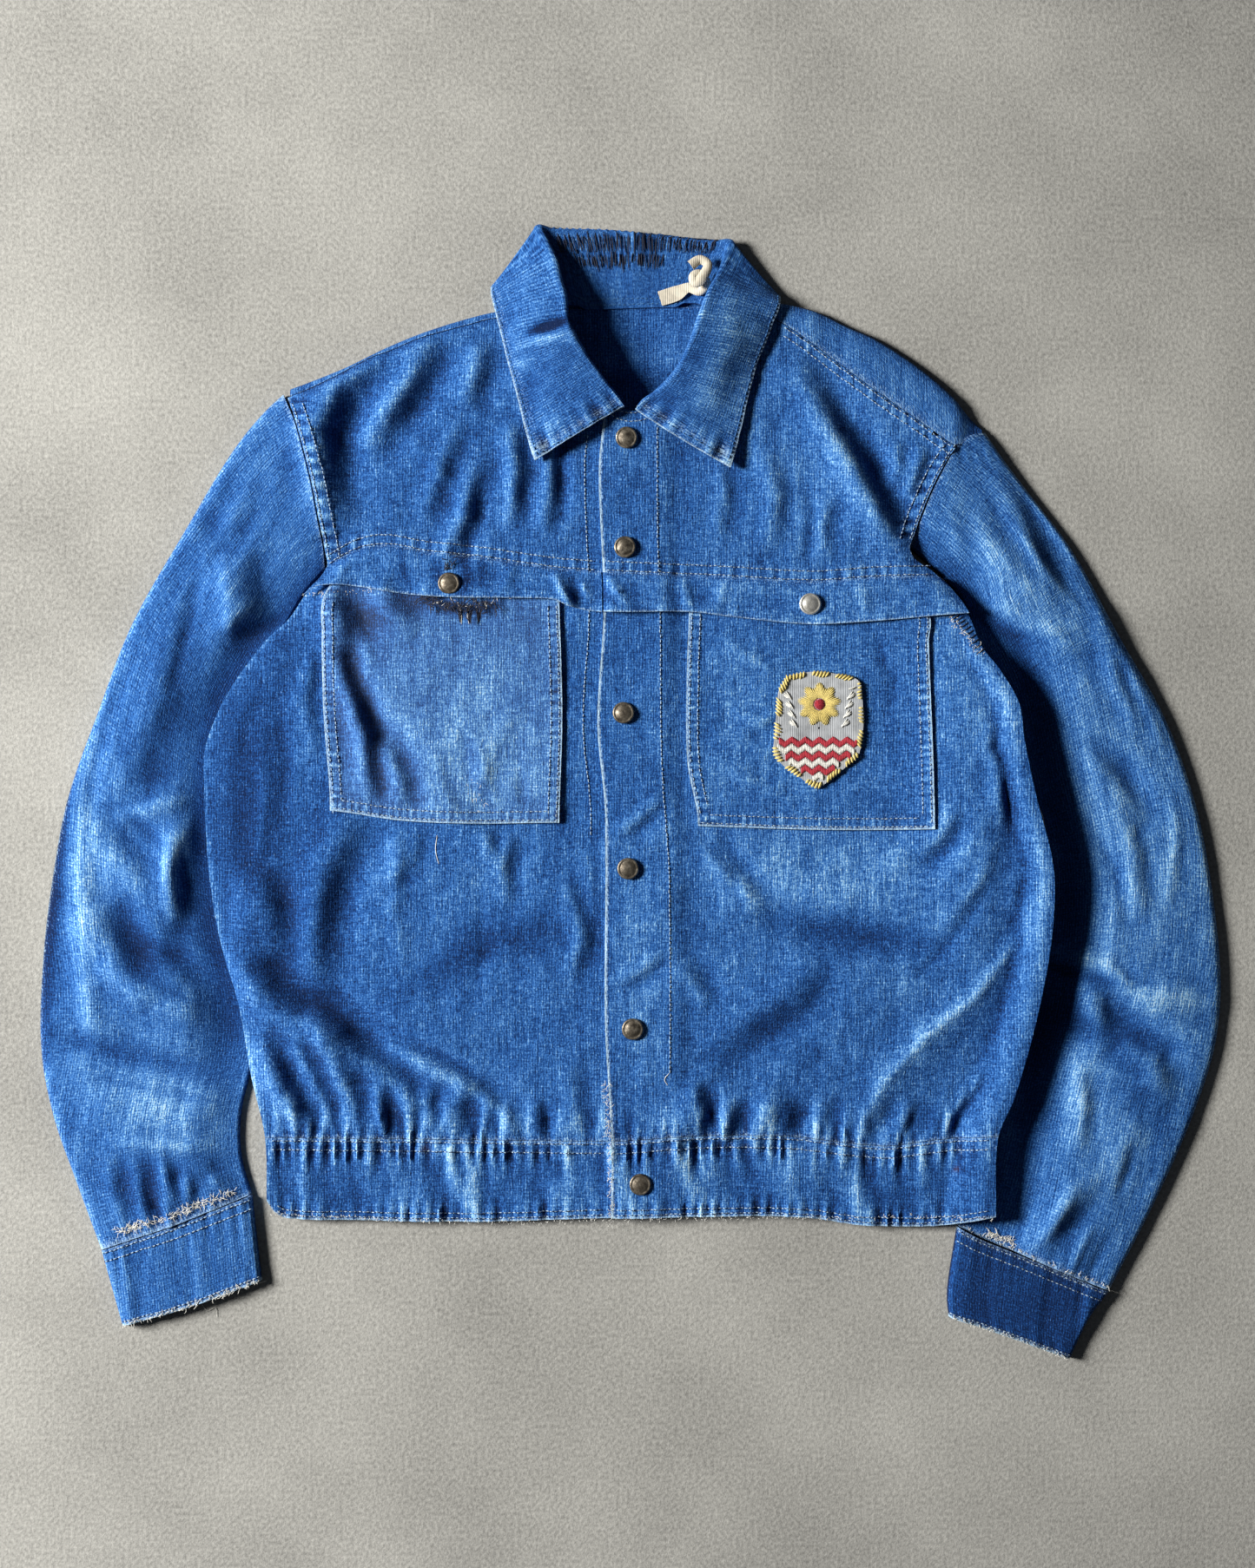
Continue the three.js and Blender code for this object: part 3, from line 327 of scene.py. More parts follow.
# Steps down away from the light, as (drop, half-width of the slope, line).
FRONT_DRAPES = [
    (6.5, 11, [(-158, 290), (-186, 262), (-198, 236), (-196, 205), (-186, 172)]),
    (4.5, 9, [(-125, 298), (-138, 270), (-156, 244), (-174, 220)]),
    (3, 7, [(-92, 296), (-98, 272), (-106, 250)]),
    (3.6, 6.5, [(-76, 246), (-71, 212), (-77, 172)]),
    (3.2, 6, [(-98, 218), (-105, 182), (-120, 148)]),
    (2.2, 6, [(-110, 244), (-122, 208), (-134, 176)]),
    (2, 5, [(-52, 236), (-50, 200), (-54, 168)]),
    (4.5, 9, [(-194, 136), (-186, 116), (-178, 92)]),
    (3, 8, [(-164, 136), (-152, 122), (-136, 110)]),
    (5.2, 6.5, [(-194, 108), (-186, 78), (-171, 38), (-166, -8)]),
    (3.2, 6, [(-168, 48), (-156, 26), (-147, 8), (-145, -12)]),
    (1.0, 6, [(-74, 50), (-88, 24), (-97, 2), (-99, -14)]),
    (2, 5, [(-206, 96), (-212, 60), (-204, 24)]),
    (4.2, 11, [(-176, -14), (-194, -52), (-202, -92), (-200, -136)]),
    (3, 8, [(-240, -50), (-230, -80), (-227, -112)]),
    (6, 12, [(-264, -88), (-248, -118), (-222, -140), (-190, -157), (-172, -184)]),
    (4, 8, [(-206, -136), (-184, -160), (-160, -180), (-136, -204)]),
    (3, 6, [(-242, -154), (-228, -182), (-206, -220)]),
    (2.4, 5, [(-220, -160), (-206, -186), (-190, -222)]),
    (3, 6, [(-178, -152), (-140, -172), (-100, -190), (-64, -220)]),
    (1.9, 6, [(-145, -184), (-141, -204), (-146, -230)]),
    (1.7, 5, [(-128, -186), (-134, -208), (-130, -230)]),
    (1.9, 6, [(-102, -188), (-112, -208), (-109, -230)]),
    (2.2, 4, [(-163, -188), (-160, -230)]),
    (1.6, 4, [(-79, -202), (-76, -230)]),
    (1.8, 4, [(-60, -200), (-58, -230)]),
    (1.4, 6, [(-38, -176), (-33, -202), (-38, -228)]),
    (2.6, 5.5, [(-40, -56), (-31, -84), (-29, -98), (-38, -124)]),
    (1.6, 5, [(-76, -26), (-81, -50), (-77, -76)]),
    (1.4, 4, [(-93, -24), (-88, -46)]),
    (1.8, 5, [(-150, -22), (-150, -46), (-154, -66)]),
    (1.6, 5, [(-138, -24), (-143, -58)]),
    (6, 9.5, [(112, 288), (128, 254), (145, 225), (160, 197), (174, 172), (192, 148)]),
    (2.6, 5, [(195, 226), (188, 208), (182, 190)]),
    (2, 4.5, [(176, 232), (178, 212), (172, 196)]),
    (1.8, 5, [(56, 226), (64, 200), (62, 164)]),
    (1.6, 5, [(92, 226), (100, 196), (96, 158)]),
    (1.4, 5, [(134, 196), (128, 174), (132, 150)]),
    (2.2, 6, [(52, -32), (70, -54), (90, -74)]),
    (1.8, 6, [(36, -110), (46, -126), (56, -138)]),
    (2.6, 11, [(128, -112), (112, -136), (80, -154), (54, -178)]),
    (2.2, 5, [(44, -190), (50, -210), (46, -230)]),
    (2, 4.5, [(68, -200), (66, -230)]),
    (1.4, 6, [(104, -196), (100, -230)]),
    (1.4, 6, [(128, -198), (124, -232)]),
    (1.4, 6, [(186, -200), (178, -232)]),
    (2.6, 4.5, [(260, -138), (236, -184), (202, -228)]),
    (3.4, 6, [(245, 26), (244, 0), (248, -24)]),
    (3.4, 6, [(263, -20), (260, -50), (254, -80)]),
    (1.8, 5, [(240, 46), (236, 30), (242, 14)]),
    (1.6, 5, [(214, -10), (206, -30), (190, -46)]),
    (1.4, 4, [(-10, -30), (6, -20), (22, -4)]),
    (1.2, 4, [(-14, -128), (8, -120), (24, -104)])]
RIGHT_SLEEVE_DRAPES = [
    (3.4, 15, [(-284, 134), (-294, 92), (-305, 54), (-320, 16), (-333, -14)]),
    (3.8, 13, [(-252, 160), (-248, 130), (-238, 100)]),
    (3, 5, [(-284, -10), (-285, -32), (-281, -60)]),
    (3, 9, [(-354, -6), (-336, -34), (-318, -54), (-300, -76)]),
    (4.6, 10, [(-347, -70), (-339, -92), (-326, -112), (-306, -130)]),
    (2.4, 9, [(-308, -76), (-304, -104), (-294, -130)]),
    (2.6, 6, [(-293, -12), (-298, -50), (-292, -84)]),
    (2.4, 4.5, [(-305, -240), (-301, -262), (-298, -288)]),
    (2, 4, [(-290, -250), (-286, -276)]),
    (2, 4, [(-278, -250), (-266, -252), (-254, -262)]),
    (2, 8, [(-300, 196), (-286, 180), (-274, 160)]),
    (2.4, 6, [(-228, 226), (-225, 206), (-228, 188)]),
    (1.6, 6, [(-262, 216), (-270, 196), (-284, 176)]),
    (1.4, 7, [(-336, 90), (-342, 60), (-352, 30)]),
    (1.8, 5, [(-340, -236), (-336, -262), (-328, -290)]),
    (1.6, 5, [(-322, -238), (-318, -264), (-314, -292)])]
LEFT_SLEEVE_DRAPES = [
    (3.2, 6, [(232, 230), (258, 184), (284, 126)]),
    (2.8, 5, [(309, 116), (322, 72), (339, 38)]),
    (2.6, 6, [(215, 204), (214, 172), (224, 138)]),
    (1.2, 8, [(338, -214), (328, -244), (314, -272)]),
    (1.5, 7, [(310, -250), (288, -278), (264, -304)]),
    (2.8, 8, [(318, -154), (346, -172), (358, -202)]),
    (4.5, 9, [(292, -112), (304, -132), (322, -164)]),
    (1.8, 7, [(304, 34), (326, 8), (342, -20)]),
    (1.6, 6, [(318, 0), (334, -40), (336, -84)]),
    (1.8, 6, [(262, -180), (268, -210), (262, -246)]),
    (1.6, 5, [(296, -176), (300, -206), (296, -240)]),
    (2, 4.5, [(246, -262), (242, -282), (246, -304)])]

# Creases finer than the solids carry, in the same form as the folds.
FRONT_CREASES = [
    (-1.4, 4, [(-40, 250), (-46, 215), (-44, 180)]),
    (1.2, 5, [(-62, 238), (-66, 205), (-58, 178)]),
    (-1.4, 5, [(-92, 228), (-84, 196), (-88, 172)]),
    (1.1, 5, [(-150, 236), (-120, 205), (-104, 175)]),
    (-1, 4, [(50, 232), (56, 205), (62, 172)]),
    (1.1, 5, [(84, 226), (90, 190), (86, 160)]),
    (-1.2, 4, [(112, 210), (120, 180), (116, 155)]),
    (1.6, 4, [(-150, -158), (-120, -168), (-92, -186)]),
    (-1.4, 3.5, [(-116, -180), (-90, -197), (-76, -214)]),
    (1.5, 3.5, [(-170, -190), (-165, -210), (-160, -226)]),
    (-1.4, 3, [(-156, -196), (-152, -214), (-150, -226)]),
    (1.2, 3, [(-122, -200), (-119, -226)]),
    (1.3, 3, [(-96, -202), (-98, -226)]),
    (-1.3, 3, [(-86, -204), (-84, -226)]),
    (1.2, 3, [(-74, -206), (-74, -226)]),
    (-1.2, 3, [(-56, -205), (-54, -226)]),
    (1.1, 3, [(62, -202), (60, -226)]),
    (-1.2, 3, [(74, -204), (70, -226)]),
    (1.2, 3, [(104, -206), (101, -226)]),
    (-1.1, 3, [(132, -206), (128, -228)]),
    (1.1, 3, [(142, -204), (138, -230)]),
    (-1.2, 3, [(188, -206), (178, -230)]),
    (1.2, 3.5, [(206, -196), (196, -228)]),
    (-1.2, 3, [(222, -192), (212, -226)]),
    (1.7, 3, [(70, 52), (86, 46), (94, 52)]),
    (-1.2, 3.5, [(48, -30), (66, -52), (72, -74)]),
    (1.4, 4, [(270, -60), (255, -91), (224, -134), (192, -160), (164, -191), (155, -211)]),
    (-1.3, 4, [(232, -62), (214, -92), (190, -118)]),
    (1.2, 5, [(238, -30), (226, -58), (206, -84)]),
    (-1.2, 4, [(-232, 60), (-226, 20), (-228, -20)]),
    (1.2, 5, [(-244, 40), (-240, 0), (-244, -40)]),
    (-1.1, 4, [(-214, 90), (-216, 60), (-212, 30)]),
    (1.0, 5, [(-150, -40), (-156, -80), (-150, -120)]),
    (-1.0, 5, [(-100, -60), (-96, -100), (-104, -136)]),
    (1.2, 4, [(-30, -40), (-26, -80), (-30, -110)]),
    (0.9, 2.5, [(-100, 34), (-94, 8), (-86, -16)]),
    (-0.9, 3, [(-110, 40), (-106, 10), (-100, -12)]),
    (0.9, 3, [(-130, 30), (-122, 0), (-114, -14)]),
    (-0.8, 3, [(-74, 30), (-72, 4), (-70, -14)]),
    (1.0, 3.5, [(-182, 116), (-172, 90), (-176, 60)]),
    (0.9, 4, [(60, 100), (84, 84), (92, 78)]),
    (-0.9, 4, [(160, 100), (172, 74), (168, 44)]),
    (0.8, 4, [(56, 20), (76, 8), (104, -8)])]
RIGHT_SLEEVE_CREASES = [
    (-1.6, 4, [(-330, -8), (-305, -1), (-281, 3)]),
    (-1.5, 4, [(-336, -8), (-320, -22), (-305, -38)]),
    (1.0, 5, [(-268, 150), (-262, 112), (-256, 75)]),
    (-1.5, 5, [(-284, 150), (-290, 110), (-300, 70)]),
    (1.4, 5, [(-322, 84), (-338, 44), (-346, 12)]),
    (-1.2, 4, [(-345, 40), (-352, 8), (-356, -28)]),
    (-1.5, 5, [(-320, -95), (-290, -112), (-262, -130)]),
    (1.4, 5, [(-326, -108), (-296, -124), (-268, -142)]),
    (-1.2, 4, [(-350, -188), (-310, -196), (-268, -204)]),
    (1.2, 4, [(-340, -228), (-310, -232), (-276, -232)]),
    (-1.5, 3, [(-318, -262), (-310, -276), (-306, -286)]),
    (1.4, 3, [(-308, -240), (-300, -262), (-292, -282)]),
    (-1.4, 3, [(-290, -266), (-282, -276), (-276, -277)]),
    (1.4, 3, [(-278, -246), (-268, -262), (-262, -270)]),
    (1.0, 5, [(-250, 200), (-276, 160), (-300, 120)]),
    (-1.0, 5, [(-236, 206), (-250, 176), (-262, 150)])]
LEFT_SLEEVE_CREASES = [
    (-1.5, 4, [(234, 108), (264, 98), (300, 104)]),
    (1.5, 4, [(246, 184), (268, 150), (292, 122)]),
    (-1.4, 4, [(262, 188), (284, 156), (304, 126)]),
    (1.4, 4, [(288, 150), (314, 108), (336, 66)]),
    (-1.4, 3.5, [(320, 100), (340, 64), (352, 34)]),
    (1.3, 4, [(355, 0), (358, -30), (352, -70)]),
    (-1.3, 4, [(300, -20), (318, -50), (326, -86)]),
    (-1.8, 4, [(320, -112), (330, -124), (346, -128)]),
    (1.5, 4, [(262, -112), (290, -118), (316, -130)]),
    (-1.2, 5, [(270, -132), (310, -142), (350, -152)]),
    (1.2, 4, [(290, -178), (330, -188), (366, -196)]),
    (-1.4, 3.5, [(330, -232), (326, -248), (320, -264)]),
    (-1.5, 3, [(262, -268), (256, -284), (252, -300)]),
    (1.4, 3, [(274, -262), (262, -284), (256, -302)]),
    (-1.4, 3, [(236, -256), (236, -276), (240, -294)]),
    (1.3, 3, [(302, -284), (294, -300), (288, -314)]),
    (-1.3, 3, [(312, -294), (306, -308), (302, -320)])]

FLAP_FOLDS = [
    (3.0, 2.6, [(-50, 143), (-45, 132), (-38, 121)]),
    (-3.0, 3.0, [(-42, 143), (-38, 134), (-31, 122)]),
    (2.0, 2.4, [(-33, 140), (-28, 126)]),
    (3.4, 2.8, [(-15, 139), (-9, 131), (-3, 123)]),
    (-3.5, 3.0, [(-14, 128), (-12, 121)]),
    (-2.6, 2.4, [(1, 139), (2, 122)]),
    (2.6, 2.8, [(33, 140), (36, 128), (37, 118)]),
    (-3.0, 3.0, [(41, 139), (43, 128), (46, 116)]),
    (1.6, 3.2, [(60, 136), (56, 120)]),
    (1.5, 3.5, [(-78, 148), (-84, 132)]),
    (-1.5, 3.0, [(-150, 154), (-146, 136)]),
    (1.4, 4.0, [(-186, 150), (-194, 138)]),
    (1.4, 4.0, [(150, 134), (154, 116)]),
    (-1.4, 3.5, [(186, 136), (196, 120)])]

# Faded and darker areas as (paleness, half-width, line); a darker area's paleness is negative.
# Several darker ones are painted shade along folds and hollows, beside the sleeves and under
# the flaps, and a few pale lines on ridges are painted highlights.
FRONT_TONES = [
    (0.75, 9, [(-268, -112), (-262, -145), (-255, -180), (-238, -205), (-212, -222)]),
    (-0.9, 26, [(-236, 84), (-250, 20), (-246, -40), (-230, -100)]),
    (-0.5, 22, [(-252, -104), (-226, -132), (-192, -150), (-170, -176)]),
    (0.35, 90, [(140, 220), (150, 60), (140, -190)]),
    (-1.1, 3, [(-128, 152), (-125, 134)]),
    (-1.5, 3.5, [(-110, 155), (-107, 142), (-110, 130)]),
    (-1.1, 3, [(-98, 152), (-97, 134)]),
    (-0.8, 3, [(-150, 156), (-147, 136)]),
    (-0.8, 3, [(-80, 150), (-82, 132)]),
    # the next four are painted shade along hollows and folds
    (-0.6, 14, [(-196, 20), (-204, -60), (-202, -130)]),
    (-0.8, 13, [(-46, -88), (-90, -98), (-124, -114), (-160, -140)]),
    (-0.7, 13, [(92, -84), (140, -93), (206, -104)]),
    (-0.8, 13, [(128, -114), (100, -142), (58, -172)]),
    (0.45, 8, [(270, -60), (255, -91), (224, -134), (192, -160), (164, -191), (155, -211)]),
    (0.45, 22, [(236, 78), (244, 40)]),
    (0.5, 22, [(60, -60), (110, -56), (180, -50)]),
    (0.4, 22, [(-130, -70), (-90, -60), (-60, -50)]),
    (-0.25, 30, [(150, -150), (100, -180)]),
    (0.25, 22, [(90, 230), (150, 200)]),
    (-0.25, 26, [(-100, 240), (-150, 200)]),
    (0.35, 10, [(-160, -170), (-128, -178), (-90, -194), (-64, -224)]),
    (0.3, 8, [(-180, -224), (-40, -226)]),
    (0.3, 8, [(40, -222), (220, -222)]),
    (0.3, 30, [(-150, -100), (-120, -140)]),
    (0.4, 14, [(0, -30), (4, -120), (8, -180)])]
POCKET_RIGHT_TONES = [
    (0.5, 30, [(-96, 90), (-90, 20), (-100, 0)]),
    (0.35, 40, [(-150, 60), (-120, 0)]),
    (0.25, 6, [(-94, 36), (-88, 8), (-80, -16)]),
    (0.5, 5, [(-116, 20), (-104, -2), (-96, -16)]),
    (0.45, 6, [(-60, 20), (-58, -16)]),
    (-0.3, 5, [(-106, 40), (-98, 8), (-90, -12)]),
    # the next two are painted shadow under the flap, the two after them painted shade along the V
    # fold
    (-1.0, 10, [(-196, 122), (-176, 112), (-150, 122), (-124, 126)]),
    (-1.6, 4, [(-136, 128), (-118, 121), (-98, 120), (-86, 124)]),
    (-1.1, 8, [(-192, 100), (-184, 72), (-170, 34), (-164, -6)]),
    (-0.6, 6, [(-150, 30), (-142, 10), (-140, -8)])]
POCKET_LEFT_TONES = [
    (0.4, 90, [(116, 110), (116, -10)]),
    (0.15, 30, [(70, 80), (70, 20)]),
    (0.3, 6, [(60, 100), (88, 80)]),
    (-0.2, 20, [(176, 90), (176, 10)])]
RIGHT_SLEEVE_TONES = [
    (0.6, 12, [(-356, 30), (-359, -20), (-358, -90), (-354, -150)]),
    (0.35, 18, [(-350, 20), (-350, -60), (-338, -130)]),
    (-2.2, 7, [(-362, 50), (-372, 8), (-379, -50), (-385, -110), (-386, -175)]),
    # the next two are painted shade in the sleeve's hollows
    (-0.8, 22, [(-334, -86), (-318, -108), (-290, -104)]),
    (-0.5, 18, [(-288, 122), (-300, 64), (-318, 4)]),
    (0.5, 7, [(-283, -12), (-294, -34), (-300, -50), (-300, -80)]),
    (0.4, 10, [(-310, -20), (-320, -60)]),
    (0.3, 13, [(-345, -132), (-315, -148), (-280, -158)]),
    (0.9, 24, [(-345, -200), (-310, -212), (-275, -222)]),
    (-0.9, 14, [(-345, -256), (-320, -262), (-300, -272)]),
    (-0.35, 9, [(-330, -246), (-290, -246), (-262, -240)]),
    (-0.3, 20, [(-270, 190), (-300, 150)])]
LEFT_SLEEVE_TONES = [
    (0.5, 70, [(250, 190), (330, 40), (340, -120), (310, -260)]),
    (0.4, 18, [(292, -168), (296, -205), (302, -246)]),
    (0.3, 26, [(320, -200), (330, -240)]),
    (0.4, 12, [(215, 190), (250, 130), (310, 100)]),
    (0.4, 7, [(335, -130), (388, -138)]),
    (0.4, 5, [(352, -16), (355, -40), (352, -66)]),
    (-0.35, 22, [(280, 150), (310, 110), (330, 60)]),
    # from here: painted shade in a broad hollow and along a crease, a painted highlight on the
    # ridge above it, and painted shadow from the body along the sleeve's inner side
    (-0.9, 16, [(296, -146), (326, -172), (346, -214)]),
    (-0.9, 4, [(262, -110), (294, -120), (324, -127)]),
    (0.5, 6, [(266, -100), (296, -110), (326, -118)]),
    (-0.4, 10, [(262, -40), (268, -90)]),
    (-0.9, 12, [(262, -100), (268, -150), (262, -230)])]


# Heights


side_stand = through([
    (-286, 8), (-225, 11), (-150, 13.5), (-60, 18), (20, 18.5), (70, 14), (104, 6), (130, 0)])


def beside_armhole(y):
    """One above the chest seam, where the body's sides are sewn to the sleeves."""
    return smooth((y - 150) / 6)


def under_collar(x):
    return smooth((COLLAR_HALF - np.abs(x)) / 18)


def round_edge(distance, radius):
    """A quarter circle from 0 at an edge to 1 at the radius."""
    return np.sqrt(1 - (1 - clamp(distance / radius)) ** 2)


def side_swell(x, y):
    """The left side seam stands up in a soft roll beside the sleeve."""
    inward = body_left_side(y) - x
    return side_stand(y) * smooth((34 - inward) / 30)


def back_height(x, y):
    low = np.minimum(y, ARM_END)
    from_right = (right_sleeve_inner(low) + 3 + RISE_WIDTH - x) / RISE_WIDTH
    from_left = (x - left_sleeve_inner(low) + 3 + RISE_WIDTH) / RISE_WIDTH
    over_sleeve = smooth(np.maximum(from_right, from_left)) * smooth((ARMPIT - y) / 17)
    over_collar = smooth((y - 268) / 20) * smooth((112 - np.abs(x)) / 20)
    return BACK_RISE * over_sleeve + NECK_RISE * over_collar + side_swell(x, y)


def seam_ropes(x, y):
    """The puckers along every sewn line of the fronts."""
    chest = y - chest_seam(x)
    waist = y - waist_seam(x)
    right_arm = x - body_right_side(y)
    left_arm = body_left_side(y) - x
    shoulder = shoulder_seam(x) - y
    arms = puckers(y, right_arm - 5.5, 1.1, 5, 9) + puckers(y, left_arm - 5.5, 1.1, 5, 11)
    ropes = puckers(x, chest - 4.5, 0.8, 6, 5) + puckers(x, waist - 4, 0.8, 7, 7)
    ropes += beside_armhole(y) * arms
    in_band = smooth((-2 - waist) / 3)
    ropes += puckers(x, y - hem(x) - 5, 1.5, 8, 13) + puckers(x, waist + 8, 1.9, 10, 15)
    ropes += 1.6 * rough(x + 0.1 * y, 0 * x, 7, 27) * near(waist + 15, 18) * in_band
    ropes += 1.7 * rough(x + 0.35 * y, y / 5, 15, 29) * in_band
    ropes += 1.5 * rough(x, 0 * x, 5.5, 33) * near(waist - 10, 12) * (1 - in_band)
    ropes += puckers(x, shoulder - 4.5, 1.1, 4.5, 17, 7) * smooth((x - SHOULDER_LAP) / 8)
    return ropes + puckers(x, shoulder - 4, 0.3, 4, 19, 5) * smooth((20 - np.abs(x)) / 6)


def seam_relief(x, y):
    """The lapped seams' low welts, with their ropes of puckers."""
    high = beside_armhole(y)
    chest = np.abs(y - chest_seam(x) - 3)
    relief = 0.5 * smooth((7.5 - chest) / 1.5)
    relief += 0.5 * high * smooth((10.5 - x + body_right_side(y)) / 1.5)
    relief += 0.5 * high * smooth((10.5 - body_left_side(y) + x) / 1.5)
    relief += 0.5 * smooth((x - SHOULDER_LAP) / 6) * smooth((8.5 - shoulder_seam(x) + y) / 1.5)
    return relief + seam_ropes(x, y)


def front_height(x, y):
    free = FRONT_LEVEL + swollen(FRONT_SWELLS, x, y) + FRONT_GAIN * folded(FRONT_FOLDS, x, y)
    free = free + draped(FRONT_DRAPES, x, y)
    free = free + 1.2 * folded(FRONT_CREASES, x, y) + seam_relief(x, y)
    free = free + 0.6 * rough(x, y, 26, 21) + 0.35 * rough(x, y, 11, 22)
    free = free + 0.22 * rough(1.6 * x, y, 7, 23)
    least = back_height(x, y) + 2 * CLOTH + BODY_GAP
    open_height = np.maximum(free, least)
    side = np.minimum(x - body_right_side(y), body_left_side(y) - x)
    beside_arm = smooth((y - ARMPIT + 10) / 24)
    side_round = lerp(np.sin(clamp(side / SIDE_ROUND) * math.pi / 2), 1, beside_arm)
    edge = SIDE_LEVEL + CLOTH + side_swell(x, y)
    sided = edge + (open_height - edge) * side_round
    from_shoulder = (top_edge(x) - y + 60 * under_collar(x)) / SHOULDER_ROUND
    return lerp(SHOULDER_LEVEL, sided, np.sin(clamp(from_shoulder) * math.pi / 2))


def lapping(x, y):
    return 1 - smooth((x - facing_stitch(y)) / 16)


def over_front_height(x, y):
    return front_height(x, y) + ON_FRONT * lapping(x, y)


def over_band_height(x, y):
    return front_height(x, y) + (DOUBLED + LAP) * lapping(x, y)


# Nets and shells


def blended(guides, steps):
    """Lines between neighbouring guides, evaluated for one row of inputs each."""
    gaps = [(g, k / count) for g, count in enumerate(steps) for k in range(count)]
    gaps.append((len(steps) - 1, 1.0))

    def lines(t):
        values = [guide(t) for guide in guides]
        return np.stack([lerp(values[g][i], values[g + 1][i], k)
                         for i, (g, k) in enumerate(gaps)])

    return lines, len(gaps)


def net(columns, rows):
    """Points where the columns' upright lines cross the rows' level lines."""
    column_lines, column_count = blended(*columns)
    row_lines, row_count = blended(*rows)
    y = row_lines(np.zeros((row_count, column_count)))
    x = column_lines(y.T).T
    for _ in range(12):
        y = lerp(y, row_lines(x), 0.7)
        x = column_lines(y.T).T
    return x, y


def normals(points, closed=False):
    """Unit normals of a grid, to the side that sees its rows rise and columns go right."""
    if closed:
        across = np.roll(points, -1, axis=1) - np.roll(points, 1, axis=1)
    else:
        across = np.gradient(points, axis=1)
    normal = np.cross(across, np.gradient(points, axis=0))
    return normal / np.maximum(np.linalg.norm(normal, axis=2, keepdims=True), 1e-9)


def blurred(values, times):
    for _ in range(times):
        padded = np.pad(values, 1, mode="edge")
        values = (padded[:-2, 1:-1] + padded[2:, 1:-1] + padded[1:-1, :-2]
                  + padded[1:-1, 2:] + 4 * values) / 8
    return values


def ridge_wear_and_hollow_shade(points):
    """Paler on ridges and darker in hollows, from how far a point stands above its area: partly the
    wear of denim, partly painted shade in the hollows.
    """
    z = points[..., 2]
    return np.clip(0.4 * (z - blurred(z, 22)), -0.9, 0.6)


def placed(name, data):
    """A new object in the scene that holds the data."""
    thing = bpy.data.objects.new(name, data)
    bpy.context.scene.collection.objects.link(thing)
    return thing


def make_mesh(name, points, faces, material):
    mesh = bpy.data.meshes.new(name)
    mesh.from_pydata((np.asarray(points) * MM).tolist(), [], faces)
    mesh.materials.append(material)
    mesh.polygons.foreach_set("use_smooth", [True] * len(mesh.polygons))
    mesh.set_sharp_from_angle(angle=math.radians(55))
    piece = placed(name, mesh)
    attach(piece, "root")
    return piece


def store(piece, name, values):
    kind, key = ("FLOAT", "value") if np.ndim(values) == 1 else ("FLOAT_VECTOR", "vector")
    layer = piece.data.attributes.new(name, kind, "POINT")
    layer.data.foreach_set(key, np.asarray(values, np.float32).ravel())


STAINS = [(-136, -234, 2.2, 0.8), (213, -247, 1.8, 0.7), (-95, -230, 1.2, 0.5)]


def stained(points):
    x, y = points[..., 0], points[..., 1]
    return sum(strength * near(np.hypot(x - cx, y - cy), radius)
               for cx, cy, radius, strength in STAINS)


def shell(name, outer, inner, material, node, cloth=None, tone=0.0, rub=0.0, closed=False,
          flip=False):
    """A closed wall between two grids; outer is seen with its rows going up and its columns
    going right, or left if flip is set."""
    rows, columns = outer.shape[:2]
    cloth = outer if cloth is None else cloth
    tone = np.broadcast_to(tone, (rows, columns))
    rub = np.broadcast_to(rub, (rows, columns))
    if flip:
        grids = (outer, inner, cloth, tone, rub)
        outer, inner, cloth, tone, rub = (grid[:, ::-1] for grid in grids)
    ids = np.arange(2 * rows * columns).reshape(2, rows, columns)
    if closed:
        ids = np.concatenate([ids, ids[:, :, :1]], axis=2)
    a, b = ids[:, :-1, :-1], ids[:, :-1, 1:]
    c, d = ids[:, 1:, 1:], ids[:, 1:, :-1]
    quads = [np.stack([a[0], b[0], c[0], d[0]], -1), np.stack([a[1], d[1], c[1], b[1]], -1)]
    low, high = ids[:, 0], ids[:, -1]
    quads.append(np.stack([low[1][:-1], low[1][1:], low[0][1:], low[0][:-1]], -1))
    quads.append(np.stack([high[0][:-1], high[0][1:], high[1][1:], high[1][:-1]], -1))
    if not closed:
        left, right = ids[:, :, 0], ids[:, :, -1]
        quads.append(np.stack([left[1][:-1], left[0][:-1], left[0][1:], left[1][1:]], -1))
        quads.append(np.stack([right[0][:-1], right[1][:-1], right[1][1:], right[0][1:]], -1))
    faces = np.concatenate([q.reshape(-1, 4) for q in quads]).tolist()
    points = np.concatenate([outer.reshape(-1, 3), inner.reshape(-1, 3)])
    piece = make_mesh(name, points, faces, material)
    store(piece, "cloth", np.tile(cloth.reshape(-1, 3) * MM, (2, 1)))
    # each shell's tone gets painted shade in its hollows and wear-pale ridges
    looks = {"tone": tone + ridge_wear_and_hollow_shade(outer), "rub": rub, "stain": stained(outer)}
    for key, values in looks.items():
        store(piece, key, np.tile(values.ravel(), 2))
    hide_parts(node)


def panel(name, xy, height, thickness, material, node, lift=0.0, tone=0.0, rub=0.0):
    x, y = xy
    outer = np.stack([x, y, height(x, y) + lift], -1)
    tone = np.broadcast_to(tone, x.shape)
    rub = np.broadcast_to(rub, x.shape)
    if y[0, 0] > y[-1, 0]:
        outer, tone, rub = outer[::-1], tone[::-1], rub[::-1]
    inner = outer - [0, 0, thickness]
    shell(name, outer, inner, material, node, tone=tone, rub=rub)


